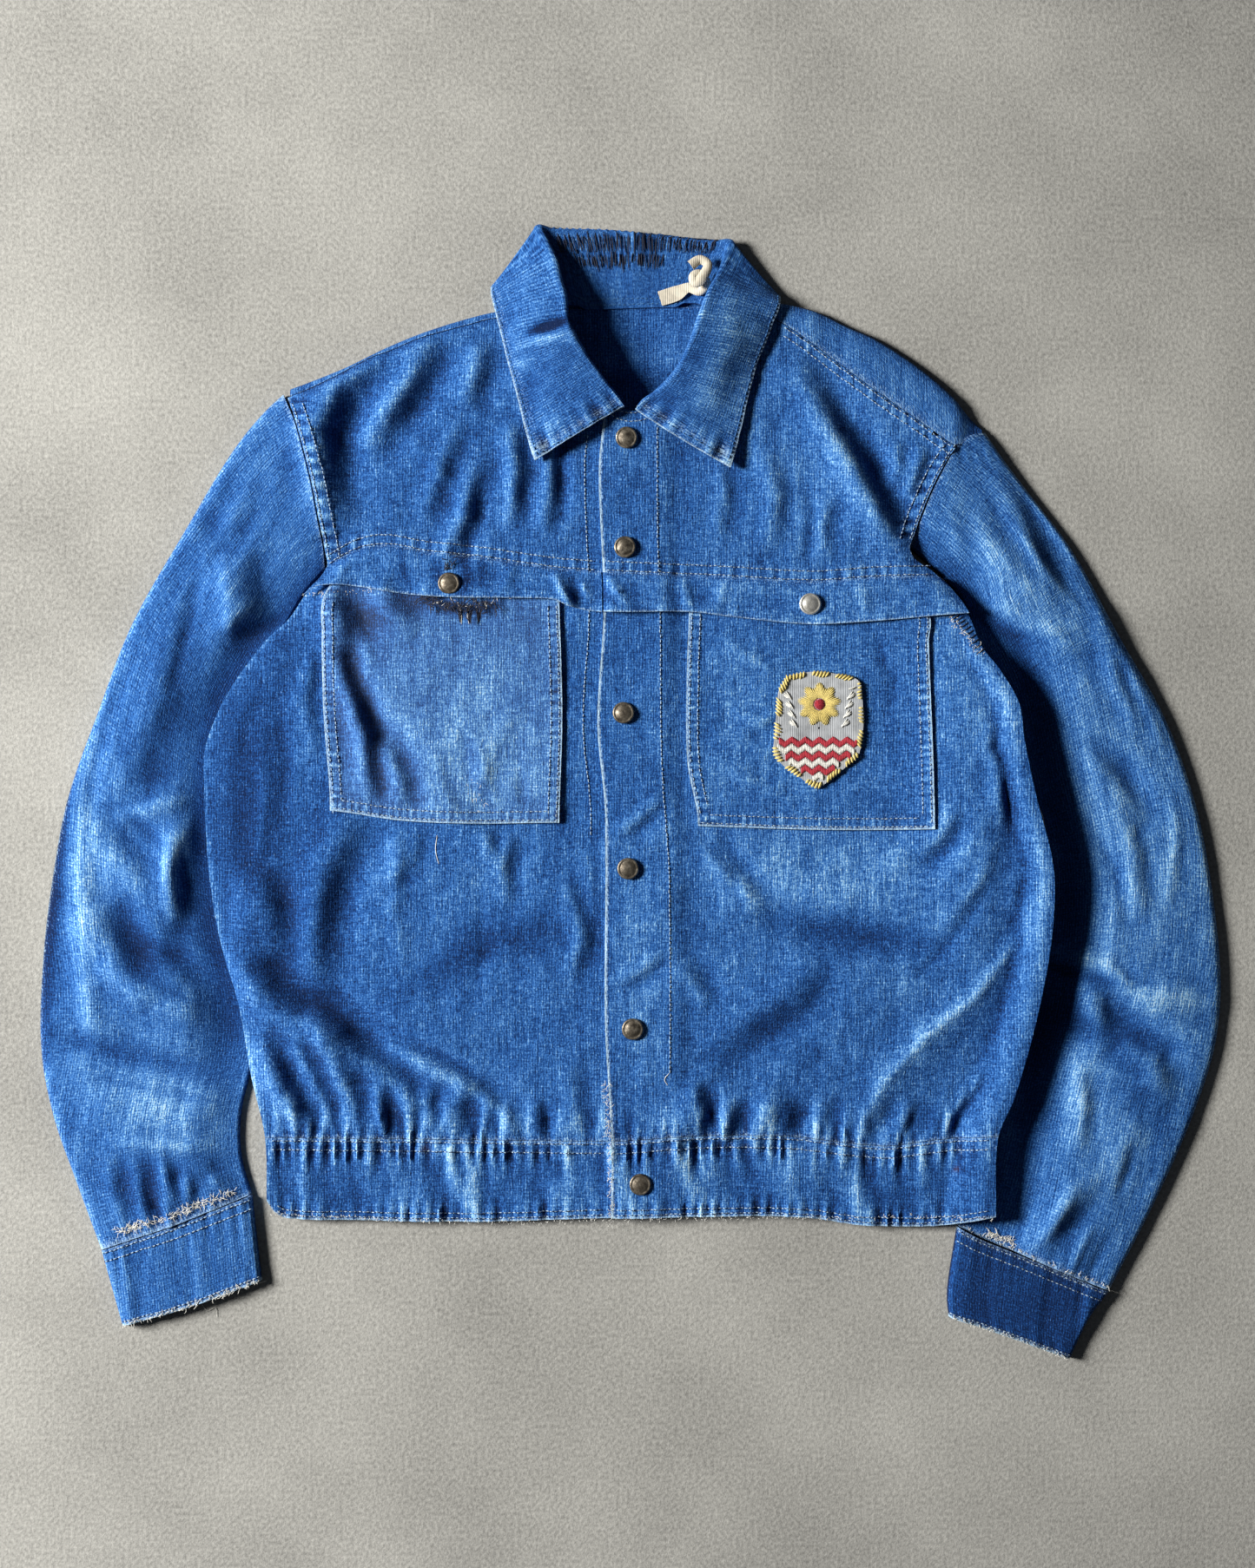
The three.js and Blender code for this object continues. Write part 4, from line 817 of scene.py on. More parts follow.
def on_grid(grid, row, column):
    """Points of a grid at fractional rows and columns."""
    row = np.clip(row, 0, grid.shape[0] - 1.001)
    column = np.clip(column, 0, grid.shape[1] - 1.001)
    i, j = row.astype(int), column.astype(int)
    s, t = (row - i)[:, None], (column - j)[:, None]
    return lerp(lerp(grid[i, j], grid[i, j + 1], t), lerp(grid[i + 1, j], grid[i + 1, j + 1], t), s)


# Materials


class Shader:
    """A node material made by short calls; values may be numbers, colours or sockets."""

    def __init__(self, name, roughness, metallic=0.0):
        self.material = bpy.data.materials.new(name)
        self.material.use_nodes = True
        self.tree = self.material.node_tree
        self.surface = self.tree.nodes["Principled BSDF"]
        self.surface.inputs["Roughness"].default_value = roughness
        self.surface.inputs["Metallic"].default_value = metallic

    def put(self, value, socket):
        if isinstance(value, bpy.types.NodeSocket):
            self.tree.links.new(value, socket)
        else:
            socket.default_value = value

    def attribute(self, name, output="Fac"):
        node = self.tree.nodes.new("ShaderNodeAttribute")
        node.attribute_name = name
        return node.outputs[output]

    def math(self, operation, a, b=0.0, clamped=False):
        node = self.tree.nodes.new("ShaderNodeMath")
        node.operation = operation
        node.use_clamp = clamped
        self.put(a, node.inputs[0])
        self.put(b, node.inputs[1])
        return node.outputs[0]

    def weighted(self, *terms):
        """The sum of values, each given with its weight."""
        total = 0.0
        for value, weight in terms:
            total = self.math("ADD", total, self.math("MULTIPLY", value, weight))
        return total

    def place(self):
        return self.tree.nodes.new("ShaderNodeTexCoord").outputs["Object"]

    def scaled(self, vector, scale):
        node = self.tree.nodes.new("ShaderNodeVectorMath")
        node.operation = "MULTIPLY"
        self.put(vector, node.inputs[0])
        self.put(scale, node.inputs[1])
        return node.outputs[0]

    def noise(self, vector, detail=2.0, roughness=0.5):
        node = self.tree.nodes.new("ShaderNodeTexNoise")
        self.put(vector, node.inputs["Vector"])
        node.inputs["Scale"].default_value = 1.0
        node.inputs["Detail"].default_value = detail
        node.inputs["Roughness"].default_value = roughness
        return node.outputs["Fac"]

    def ramp(self, factor, stops):
        node = self.tree.nodes.new("ShaderNodeValToRGB")
        elements = node.color_ramp.elements
        while len(elements) < len(stops):
            elements.new(1.0)
        for element, (place, color) in zip(elements, stops):
            element.position = place
            element.color = (*color, 1.0)
        self.put(factor, node.inputs[0])
        return node.outputs["Color"]

    def mix(self, factor, a, b):
        node = self.tree.nodes.new("ShaderNodeMix")
        node.data_type = "RGBA"
        self.put(factor, node.inputs["Factor"])
        self.put(a, node.inputs["A"])
        self.put(b, node.inputs["B"])
        return node.outputs["Result"]

    def wave(self, vector, distortion):
        node = self.tree.nodes.new("ShaderNodeTexWave")
        self.put(vector, node.inputs["Vector"])
        node.inputs["Scale"].default_value = 1.0
        node.inputs["Distortion"].default_value = distortion
        return node.outputs["Fac"]

    def bump(self, height, distance, strength=1.0):
        node = self.tree.nodes.new("ShaderNodeBump")
        node.inputs["Distance"].default_value = distance
        node.inputs["Strength"].default_value = strength
        self.put(height, node.inputs["Height"])
        self.put(node.outputs["Normal"], self.surface.inputs["Normal"])

    def color(self, value):
        self.put(value, self.surface.inputs["Base Color"])


def per_mm(across, along):
    """Scale that turns metres into cells of the given size in millimetres."""
    return (1000 / across, 1000 / along, 1000 / across)


DENIM_STOPS = [
    (0.0, (0.002, 0.012, 0.055)), (0.28, (0.006, 0.047, 0.19)), (0.5, (0.024, 0.116, 0.36)),
    (0.68, (0.078, 0.22, 0.5)), (0.84, (0.19, 0.41, 0.68)), (1.0, (0.45, 0.65, 0.81))]
WORN_BLUE = (0.42, 0.6, 0.74, 1.0)
GREY_BLUE = (0.3, 0.36, 0.4, 1.0)
RUST = (0.045, 0.018, 0.012, 1.0)


def denim(name, level, greyness=0.0):
    """Faded twill: warp and weft slubs, a broken diagonal, mottling, and by place wear with painted
    shade and highlights.
    """
    shader = Shader(name, 0.92)
    cloth = shader.attribute("cloth", "Vector")
    warp = shader.noise(shader.scaled(cloth, per_mm(0.9, 16)), 1.5)
    fine_warp = shader.noise(shader.scaled(cloth, per_mm(0.55, 3.5)), 1.0)
    weft = shader.noise(shader.scaled(cloth, per_mm(10, 0.8)), 1.5)
    grain = shader.noise(shader.scaled(cloth, per_mm(1.1, 1.1)), 1.0)
    mottle = shader.noise(shader.scaled(cloth, per_mm(34, 46)), 3.0, 0.6)
    streak = shader.noise(shader.scaled(cloth, per_mm(6, 70)), 2.0)
    twill = shader.wave(shader.scaled(cloth, (170.0, 120.0, 0.0)), 1.5)
    textures = [(warp, 0.5), (fine_warp, 0.6), (weft, 0.5), (grain, 0.85), (mottle, 0.3),
                (streak, 0.26), (twill, 0.16)]
    centred = [(shader.math("SUBTRACT", texture, 0.5), weight) for texture, weight in textures]
    broken = shader.weighted((streak, 0.27), (warp, 0.3))
    # the tone attribute brings in wear and painted light and shade
    tone = shader.math("MULTIPLY", shader.attribute("tone"), broken)
    fade_and_shade = shader.ramp(shader.weighted((level, 1.0), *centred, (tone, 1.0)), DENIM_STOPS)
    worn = shader.weighted((shader.attribute("rub"), 0.42), (fine_warp, 0.5), (grain, 0.5))
    worn = shader.math("MULTIPLY", shader.math("SUBTRACT", worn, 0.64), 2.6, True)
    fade_and_shade = shader.mix(worn, fade_and_shade, WORN_BLUE)
    fade_and_shade = shader.mix(greyness, fade_and_shade, GREY_BLUE)
    shader.color(shader.mix(shader.attribute("stain"), fade_and_shade, RUST))
    shader.bump(shader.weighted((warp, 0.5), (fine_warp, 1.0), (weft, 1.0)), 0.00055, 0.8)
    shader.surface.inputs["Specular IOR Level"].default_value = 0.15
    shader.surface.inputs["Sheen Weight"].default_value = 0.02
    shader.surface.inputs["Sheen Roughness"].default_value = 0.55
    return shader.material


def shaded(color):
    return tuple(c * 0.55 for c in color)


def thread(name, color):
    shader = Shader(name, 0.85)
    place = shader.place()
    twist = shader.noise(shader.scaled(place, per_mm(0.8, 0.8)), 1.0)
    shader.color(shader.ramp(twist, [(0.3, shaded(color)), (0.7, color)]))
    shader.bump(twist, 0.0003, 0.6)
    return shader.material


def aged_metal(name, dull, mid, bright):
    shader = Shader(name, 0.42, 0.85)
    place = shader.place()
    patina = shader.noise(shader.scaled(place, per_mm(3.2, 3.2)), 5.0, 0.65)
    shader.color(shader.ramp(patina, [(0.3, dull), (0.5, mid), (0.7, bright)]))
    scratch = shader.noise(shader.scaled(place, per_mm(0.8, 0.8)), 2.0)
    shader.bump(scratch, 0.0002, 0.5)
    return shader.material


def twill_tape(name, color):
    shader = Shader(name, 0.9)
    place = shader.place()
    weave = shader.wave(shader.scaled(place, (300.0, 300.0, 300.0)), 1.0)
    soil = shader.noise(shader.scaled(place, per_mm(5, 5)), 3.0)
    soiled = shader.weighted((weave, 0.3), (soil, 1.0))
    shader.color(shader.ramp(soiled, [(0.3, shaded(color)), (0.75, color)]))
    shader.bump(weave, 0.0003, 0.6)
    return shader.material


def concrete(name):
    shader = Shader(name, 0.85)
    place = shader.place()
    cloud = shader.noise(shader.scaled(place, per_mm(160, 160)), 5.0, 0.6)
    speck = shader.noise(shader.scaled(place, per_mm(2.4, 2.4)), 4.0, 0.7)
    grey = shader.weighted((cloud, 0.35), (speck, 0.65))
    shader.color(shader.ramp(grey, [(0.32, (0.165, 0.162, 0.15)), (0.68, (0.46, 0.455, 0.42))]))
    shader.bump(speck, 0.0009, 0.6)
    return shader.material


DENIM = denim("faded_denim", 0.41)
DENIM_SLEEVE = denim("faded_sleeve_denim", 0.44)
DENIM_BAND = denim("faded_band_denim", 0.45)
DENIM_RIGHT_POCKET = denim("faded_pocket_denim", 0.47, 0.05)
PALE_THREAD = thread("pale_thread", (0.46, 0.62, 0.76))
# a dark colour that stands for painted shade in the gaps between stitches
STITCH_GAP_SHADE = thread("painted_seam_shade", (0.006, 0.03, 0.13))
BLUE_THREAD = thread("blue_thread", (0.06, 0.2, 0.45))
BLACK_THREAD = thread("black_thread", (0.02, 0.022, 0.04))
YELLOW_THREAD = thread("yellow_thread", (0.85, 0.68, 0.22))
RED_THREAD = thread("red_thread", (0.5, 0.03, 0.05))
WHITE_THREAD = thread("white_thread", (0.86, 0.85, 0.78))
BRASS = aged_metal("aged_brass", (0.05, 0.04, 0.035), (0.2, 0.17, 0.13), (0.45, 0.4, 0.32))
SILVER = aged_metal("silvered_brass", (0.4, 0.39, 0.35), (0.75, 0.74, 0.68), (0.92, 0.9, 0.85))
TAPE = twill_tape("cotton_tape", (0.66, 0.6, 0.48))
BADGE_TWILL = twill_tape("badge_twill", (0.42, 0.44, 0.46))


# Fronts, flap strips, pockets and waistband


def steps(*lengths):
    return [max(1, round(length / GRID)) for length in lengths]


lower_rows = ([shifted(chest_seam, -SEAM), flap_edge, pocket_bottom, shifted(waist_seam, SEAM)],
              steps(26, 150, 206))
upper_rows = ([shifted(chest_seam, SEAM), shifted(shoulder_seam, -SEAM)], steps(160))
band_rows = ([shifted(waist_seam, -SEAM), hem], steps(54))
right_columns = ([body_right_side, right_pocket_outer, right_pocket_inner, lapping_edge,
                  facing_stitch], steps(72, 154, 28, 40))
left_columns = ([lapping_edge, facing_stitch, left_pocket_inner, left_pocket_outer,
                 body_left_side], steps(40, 20, 158, 66))
right_upper_columns = ([shifted(body_right_side, 0.3), lapping_edge, facing_stitch],
                       steps(190, 40))
left_upper_columns = ([lapping_edge, facing_stitch, shifted(body_left_side, -0.3)],
                      steps(40, 180))


def front_rub(x, y):
    """How much the cloth is rubbed pale, along the seams."""
    chest = np.abs(y - chest_seam(x))
    arm = np.minimum(np.abs(x - body_right_side(y)), np.abs(body_left_side(y) - x))
    rub = 0.45 * near(chest, 2) + 0.25 * near(chest - 8, 1.6)
    rub += 0.5 * near(y - waist_seam(x), 2.5) + 0.3 * near(y - waist_seam(x) + 8, 3)
    return rub + beside_armhole(y) * (0.5 * near(arm, 2) + 0.3 * near(arm - 10, 1.6))


def front_tone(x, y):
    # painted highlight along the right side's edge; the seams' puckers are paler on their crests
    # and darker in their troughs, partly roping wear, partly painted light and shade
    painted_edge_highlight = 0.8 * near(x - body_right_side(y), 2.5)
    return folded(FRONT_TONES, x, y) + 0.7 * seam_ropes(x, y) + painted_edge_highlight


def left_rub(x, y):
    edge = x - lapping_edge(y)
    return front_rub(x, y) + 1.3 * near(edge, 1.6) + 0.15 * near(x - facing_stitch(y), 2)


def front_panels(side, columns, upper_columns, height, band_height, rub):
    plans = {"upper": net(upper_columns, upper_rows), "lower": net(columns, lower_rows)}
    for level, plan in plans.items():
        panel(f"front_{side}_{level}_cloth", plan, height, CLOTH, DENIM,
              f"front_{side}_{level}", tone=front_tone(*plan), rub=rub(*plan))
    band = net(columns, band_rows)
    panel(f"waistband_front_{side}", band, band_height, DOUBLED, DENIM_BAND,
          f"band_front_{side}", tone=0.6 * front_tone(*band) + 0.1,
          rub=rub(*band) + 0.9 * near(band[1] - hem(band[0]), 1.6))


def high_flap(x):
    return lerp(chest_seam(x), flap_edge(x), 0.45)


def patch_pocket(side, guides, height, tones, material):
    x, y = net((guides, steps(154)), ([high_flap, flap_edge, pocket_bottom], steps(12, 150)))
    from_low, from_high, from_bottom = x - guides[0](y), guides[1](y) - x, y - pocket_bottom(x)
    inset = np.minimum(np.minimum(from_low, from_high), from_bottom)
    ropes = puckers(y, from_low - 4.5, 1.0, 4.5, 81, 6)
    ropes += puckers(y, from_high - 4.5, 1.0, 4.5, 83, 6)
    ropes += puckers(x, from_bottom - 4.5, 1.1, 5, 85, 6)
    welt = 0.25 * smooth((8.5 - inset) / 1.5) + np.maximum(0, ropes)
    # the pocket's tone follows its seams' puckers, partly roping wear, partly painted light and
    # shade
    panel(f"patch_pocket_{side}", (x, y), height, CLOTH, material, f"pocket_{side}",
          lift=ON_FRONT + welt * smooth((flap_edge(x) - y) / 3),
          tone=folded(tones, x, y) + 0.8 * ropes,
          rub=1.05 * near(inset, 1.6) + 0.3 * near(inset - 8, 1.6))


def over_right_pocket(x, y):
    return 1 - smooth((x - right_pocket_inner(y) - 4) / 8)


def over_left_pocket(x, y):
    return smooth((x - lapping_edge(y)) / 2)


def flap_strip(side, guides, over_pocket, height):
    x, y = net((guides, steps(160, 30)), ([chest_seam, shifted(flap_edge, -1)], [14]))
    below_seam = chest_seam(x) - y
    down = clamp(below_seam / 6)
    hang = clamp(below_seam / (chest_seam(x) - flap_edge(x) + 1))
    wavy = 1.0 + 0.8 * rough(x, y * 0, 17, 31) + 0.5 * rough(x, y * 0, 7, 32)
    folds = folded(FLAP_FOLDS, x, y)
    lift = ON_FRONT * (1 + down * over_pocket(x, y))
    lift += 1.5 * wavy * smooth((hang - 0.5) / 0.5) * down
    lift += np.maximum(0, folds) * smooth(hang / 0.15) + np.minimum(0, folds) * 0.1
    # its tone follows its folds: paler on ridges and darker in hollows, partly wear, partly painted
    # light and shade
    panel(f"flap_strip_{side}", (x, y), height, CLOTH, DENIM, f"flap_{side}",
          lift=lift, tone=folded(FRONT_TONES, x, y) + 0.1 + 0.12 * folds,
          rub=0.75 * near(hang * 26 - 26, 1.2) + 0.3 * near(hang * 26, 2))


front_panels("right", right_columns, right_upper_columns, front_height, front_height, front_rub)
patch_pocket("right", [right_pocket_outer, right_pocket_inner], front_height, POCKET_RIGHT_TONES,
             DENIM_RIGHT_POCKET)
flap_strip("right", [body_right_side, right_pocket_inner, shifted(lapping_edge, -1)],
           over_right_pocket, front_height)
front_panels("left", left_columns, left_upper_columns, over_front_height, over_band_height,
             left_rub)
patch_pocket("left", [left_pocket_inner, left_pocket_outer], over_front_height,
             POCKET_LEFT_TONES, DENIM)
flap_strip("left", [lapping_edge, left_pocket_outer, body_left_side], over_left_pocket,
           over_front_height)


# The back: a flat field, then a turn over each shoulder up to the shoulder seams


def above_low_sleeve(side, arm, from_side, from_arm, pick):
    return lambda y: pick(side(y) + from_side, arm(np.minimum(y, ARM_END)) + from_arm)


back_columns = ([
    shifted(body_right_side, 1.2),
    above_low_sleeve(body_right_side, right_sleeve_inner, 6, 3, np.maximum),
    above_low_sleeve(body_right_side, right_sleeve_inner, 26, 28, np.maximum),
    above_low_sleeve(body_left_side, left_sleeve_inner, -26, -28, np.minimum),
    above_low_sleeve(body_left_side, left_sleeve_inner, -6, -3, np.minimum),
    shifted(body_left_side, -1.2)], [2, 6, 90, 6, 2])
underarms = level_line([(-201, 146), (184, 160)])
TURN_STEPS = 10


def back_grid():
    field = net(back_columns, ([shifted(waist_seam, SEAM), underarms, shifted(top_edge, -8)],
                               [76, 34]))
    x, y = field
    rows = [np.stack([x, y, back_height(x, y)], -1)]
    x = x[-1]
    top = top_edge(x)
    seam = np.minimum(shoulder_seam(x) + 0.56 * np.maximum(0, x - 213) + 2 * SEAM, top - 1.6)
    seam_height = lerp(front_height(x, seam), 4.6, smooth((x - 212) / 16))
    flat = under_collar(x)
    base = back_height(x, top - 4)
    for k in range(1, TURN_STEPS + 1):
        angle = (k / TURN_STEPS - 0.5) * math.pi
        depth = 4 if angle < 0 else top - seam
        turn_y = top - depth * (1 - math.cos(angle))
        turn_z = lerp(base, seam_height, (1 + math.sin(angle)) / 2)
        flat_y = top - 8 + 8 * k / TURN_STEPS
        rows.append(np.stack([x, lerp(turn_y, flat_y, flat), lerp(turn_z, base, flat)], -1)[None])
    return np.concatenate(rows)


back_face = back_grid()
back_inside = back_face + CLOTH * normals(back_face)
back_inside[:-TURN_STEPS] = back_face[:-TURN_STEPS] + [0, 0, CLOTH]
level_end = np.abs(back_face[-1, :, 0]) >= COLLAR_HALF
back_inside[-1, level_end] = back_face[-1, level_end] - [0, 0, CLOTH]
back_inside[..., 2] = np.maximum(back_inside[..., 2], FLOOR_GAP)
back_run = np.cumsum(np.linalg.norm(np.gradient(back_face, axis=0), axis=2), axis=0)
back_cloth = np.stack([back_face[..., 0], back_run, 0 * back_run], -1)
back_rub = np.zeros(back_face.shape[:2])
back_rub[-1] = 0.5
shell("back_cloth", back_face, back_inside, DENIM, "back", cloth=back_cloth,
      rub=back_rub, tone=-0.1, flip=True)

x, y = net(back_columns, ([hem, shifted(waist_seam, -SEAM)], [18]))
band_face = np.stack([x, y, back_height(x, y)], -1)
shell("waistband_back", band_face, band_face + CLOTH * normals(band_face), DENIM_BAND,
      "band_back", rub=0.8 * near(y - hem(x), 3), flip=True)


# Sleeves and cuffs


def plan_patch(start, end, inner, outer):
    """A smooth patch in plan between four lines, by the shares across and along it."""
    s, e, i, o = (path(points) for points in (start, end, inner, outer))

    def patch(u, v):
        u, v = clamp(u)[..., None], clamp(v)[..., None]
        across = s(u[..., 0]) * (1 - v) + e(u[..., 0]) * v
        along = i(v[..., 0]) * (1 - u) + o(v[..., 0]) * u
        corners = (s(0.0) * (1 - u) * (1 - v) + s(1.0) * u * (1 - v)
                   + e(0.0) * (1 - u) * v + e(1.0) * u * v)
        return across + along - corners

    return patch


EDGE_ROLL = 2.6  # plan width of the rolled edge of a flattened tube
TOP_STEPS = 58
UNDER_STEPS = 16
UNDER_OFFSET = 400  # sets the under face's weave apart from the upper face's


def eased(count):
    """Shares from 0 to 1 that lie closer together near both ends."""
    return (1 - np.cos(math.pi * np.linspace(0, 1, count + 1))) / 2


def flat_tube(patch, height, row_count):
    """The outer face of a pressed tube, its place in the cloth, and distances for its wear."""
    top_u = lerp(np.linspace(0, 1, TOP_STEPS + 1), eased(TOP_STEPS), 0.45)
    u = np.concatenate([top_u, eased(UNDER_STEPS)[::-1][1:-1]])
    v = np.linspace(0, 1, row_count + 1)
    uu, vv = np.meshgrid(u, v)
    plan = patch(uu, vv)
    span = patch(np.ones_like(v), v) - patch(np.zeros_like(v), v)
    width = np.linalg.norm(span, axis=1)[:, None]
    from_inner, from_outer = uu * width, (1 - uu) * width
    x, y = plan[..., 0], plan[..., 1]
    top = height(x, y, from_inner, from_outer, vv)
    roll = round_edge(np.minimum(from_inner, from_outer), EDGE_ROLL)
    is_top = np.arange(len(u)) <= TOP_STEPS
    z = np.where(is_top, SLEEVE_EDGE + (top - SLEEVE_EDGE) * roll, SLEEVE_EDGE * (1 - roll))
    outer = np.stack([x, y, z], -1)
    length = np.linalg.norm(np.diff(patch(np.full_like(v, 0.5), v), axis=0), axis=1).sum()
    across = from_inner + np.where(is_top, 0, UNDER_OFFSET)
    cloth = np.stack([across, -vv * length, np.zeros_like(uu)], -1)
    return outer, cloth, from_inner, from_outer, vv * length


def sleeve_height(folds, creases, drapes, pressed_width, seed):
    def height(x, y, from_inner, from_outer, v):
        fold = SLEEVE_LEVEL + SLEEVE_GAIN * (folded(folds, x, y) + folded(creases, x, y))
        fold = fold + draped(drapes, x, y)
        fold = fold + 0.7 * rough(x, y, 24, seed) + 0.4 * rough(x, y, 10, seed + 1)
        fold = fold + 0.22 * rough(1.6 * x, y, 7, seed + 8)
        lifted = smooth((from_inner - pressed_width(y)) / 34)
        rounded = 0.55 * round_edge(from_outer, SLEEVE_ROUND) + 0.45 * smooth(from_outer / 42)
        own = SLEEVE_PRESSED + np.maximum(0, fold - SLEEVE_PRESSED) * lifted * rounded
        beside = lerp(SLEEVE_PRESSED, front_height(x, y), np.sqrt(clamp(from_inner / 26)) * rounded)
        gather = puckers(from_inner, (1 - v) * SLEEVE_RUN, 0.7, 9, seed + 2)
        return lerp(np.maximum(SLEEVE_PRESSED, beside), own + gather * rounded * lifted,
                    smooth(v / 0.13))

    return height


SLEEVE_ROWS = 150
CUFF_ROWS = 22


def cuff_level(folds, creases, seed):
    def height(x, y, from_inner, from_outer, v):
        gather = folded(folds, x, y) + 0.8 * folded(creases, x, y)
        gather = gather + puckers(from_inner, v * CUFF_RUN, 1.2, 22, seed + 5)
        gather = gather + puckers(from_inner, (1 - v) * CUFF_RUN - 4, 0.9, 6, seed + 7)
        gather = gather + 1.8 * rough(from_inner, 0 * x, 7, seed + 9)
        rounded = round_edge(np.minimum(from_inner, from_outer), SLEEVE_ROUND)
        return CUFF_LEVEL + (CUFF_RISE + 0.6 * gather) * rounded

    return height


def sleeve(side, outlines, folds, creases, drapes, tones, cuff_tone, pressed_width, seed):
    """Makes a sleeve and its cuff and returns their outer faces."""
    flip = side == "left"
    inward = TUBE_CLOTH if flip else -TUBE_CLOTH
    arm = plan_patch(*(outlines[key] for key in ("armhole", "cuff_seam", "inner", "outer")))
    outer, cloth, from_inner, from_outer, along = flat_tube(
        arm, sleeve_height(folds, creases, drapes, pressed_width, seed), SLEEVE_ROWS)
    x, y = outer[..., 0], outer[..., 1]
    # painted shadow on the sleeve along the body's edge, where the sleeve runs under the body
    shade_beside_body = 0.9 * near(from_inner - pressed_width(y), 12) * smooth((y + 200) / 60)
    rub = 0.5 * near(along, 3) + 0.7 * near(along - along.max(), 4) + 0.5 * near(from_outer, 2.5)
    shell(f"sleeve_{side}_cloth", outer, outer + inward * normals(outer, True), DENIM_SLEEVE,
          f"sleeve_{side}", cloth=cloth, tone=folded(tones, x, y) - shade_beside_body,
          rub=rub, closed=True, flip=flip)
    cuff = plan_patch(*(outlines[key] for key in (
        "cuff_top", "cuff_end", "cuff_inner", "cuff_outer")))
    cuff_face, cloth, _, _, along = flat_tube(cuff, cuff_level(folds, creases, seed), CUFF_ROWS)
    shell(f"cuff_{side}_cloth", cuff_face, cuff_face + inward * normals(cuff_face, True),
          DENIM_BAND, f"cuff_{side}", cloth=cloth, tone=cuff_tone,
          rub=0.5 * near(along, 3) + near(along - along.max(), 2.2), closed=True, flip=flip)
    return outer, cuff_face


def drop(points, by):
    return [(x + by[0], y + by[1]) for x, y in points]


right_cuff_seam = [(-249.5, -264.5), (-279, -276), (-302, -285), (-326, -293), (-349, -301)]
right_outlines = {
    "armhole": [(-201.3, 145.5), (-202, 159), (-206, 181), (-210, 203), (-215.5, 225),
                (-221, 244), (-229, 262)],
    "cuff_seam": right_cuff_seam,
    "inner": [(-201.3, 145.5), (-215, 130), (-226, 112), (-236, 95), (-246, 75), (-262, 40),
              (-265.5, 0), (-262.5, -50), (-257, -95), (-246, -141), (-247, -170), (-251, -187),
              (-256, -207), (-257.5, -225), (-256, -242), (-249.5, -264.5)],
    "outer": [(-229, 262), (-239.5, 252.5), (-260, 228), (-294, 172), (-329, 110), (-351, 53),
              (-371, -4), (-380, -50), (-387, -107), (-388.5, -170), (-380, -215), (-366, -255),
              (-349, -301)],
    "cuff_top": drop(right_cuff_seam, (0.2, -0.7)),
    "cuff_end": [(-243, -321), (-290, -338), (-335, -351)],
    "cuff_inner": [(-249.3, -265.2), (-243, -321)],
    "cuff_outer": [(-348.8, -301.7), (-335, -351)]}
right_sleeve, right_cuff = sleeve(
    "right", right_outlines, RIGHT_SLEEVE_FOLDS, RIGHT_SLEEVE_CREASES, RIGHT_SLEEVE_DRAPES,
    RIGHT_SLEEVE_TONES, -0.1,
    lambda y: 17 * smooth((125 - y) / 25) * smooth((y + 205) / 30), 41)

left_cuff_seam = [(214.6, -285), (230, -293), (255, -303), (288, -317), (315, -328)]
left_outlines = {
    "armhole": [(183, 160.5), (187, 170), (191, 181), (197.5, 197), (205, 212), (214, 227),
                (222, 234), (233.5, 236.5)],
    "cuff_seam": left_cuff_seam,
    "inner": [(183, 160.5), (200.5, 145.5), (216, 129), (222.5, 114), (224, 100), (231, 80),
              (240, 58), (244, 35), (250, 0), (260, -50), (259, -95), (250, -147), (236, -198),
              (227, -240), (218, -272), (214.6, -285)],
    "outer": [(233.5, 236.5), (244, 221), (259, 201), (290, 160), (321, 104), (352.5, 47),
              (372.5, -10), (384, -73), (388.5, -130), (384, -170), (367, -221), (344, -272),
              (315, -328)],
    "cuff_top": drop(left_cuff_seam, (-0.2, -0.7)),
    "cuff_end": [(209, -345), (246, -357), (289, -373)],
    "cuff_inner": [(214.4, -285.7), (208, -330), (209, -345)],
    "cuff_outer": [(314.8, -328.7), (302, -346), (289, -373)]}
left_sleeve, left_cuff = sleeve(
    "left", left_outlines, LEFT_SLEEVE_FOLDS, LEFT_SLEEVE_CREASES, LEFT_SLEEVE_DRAPES,
    LEFT_SLEEVE_TONES, -1.1,
    lambda y: 30 * smooth((125 - y) / 25), 61)


# The collar: from its right front end round the neck, each section as neck seam, roll, edge

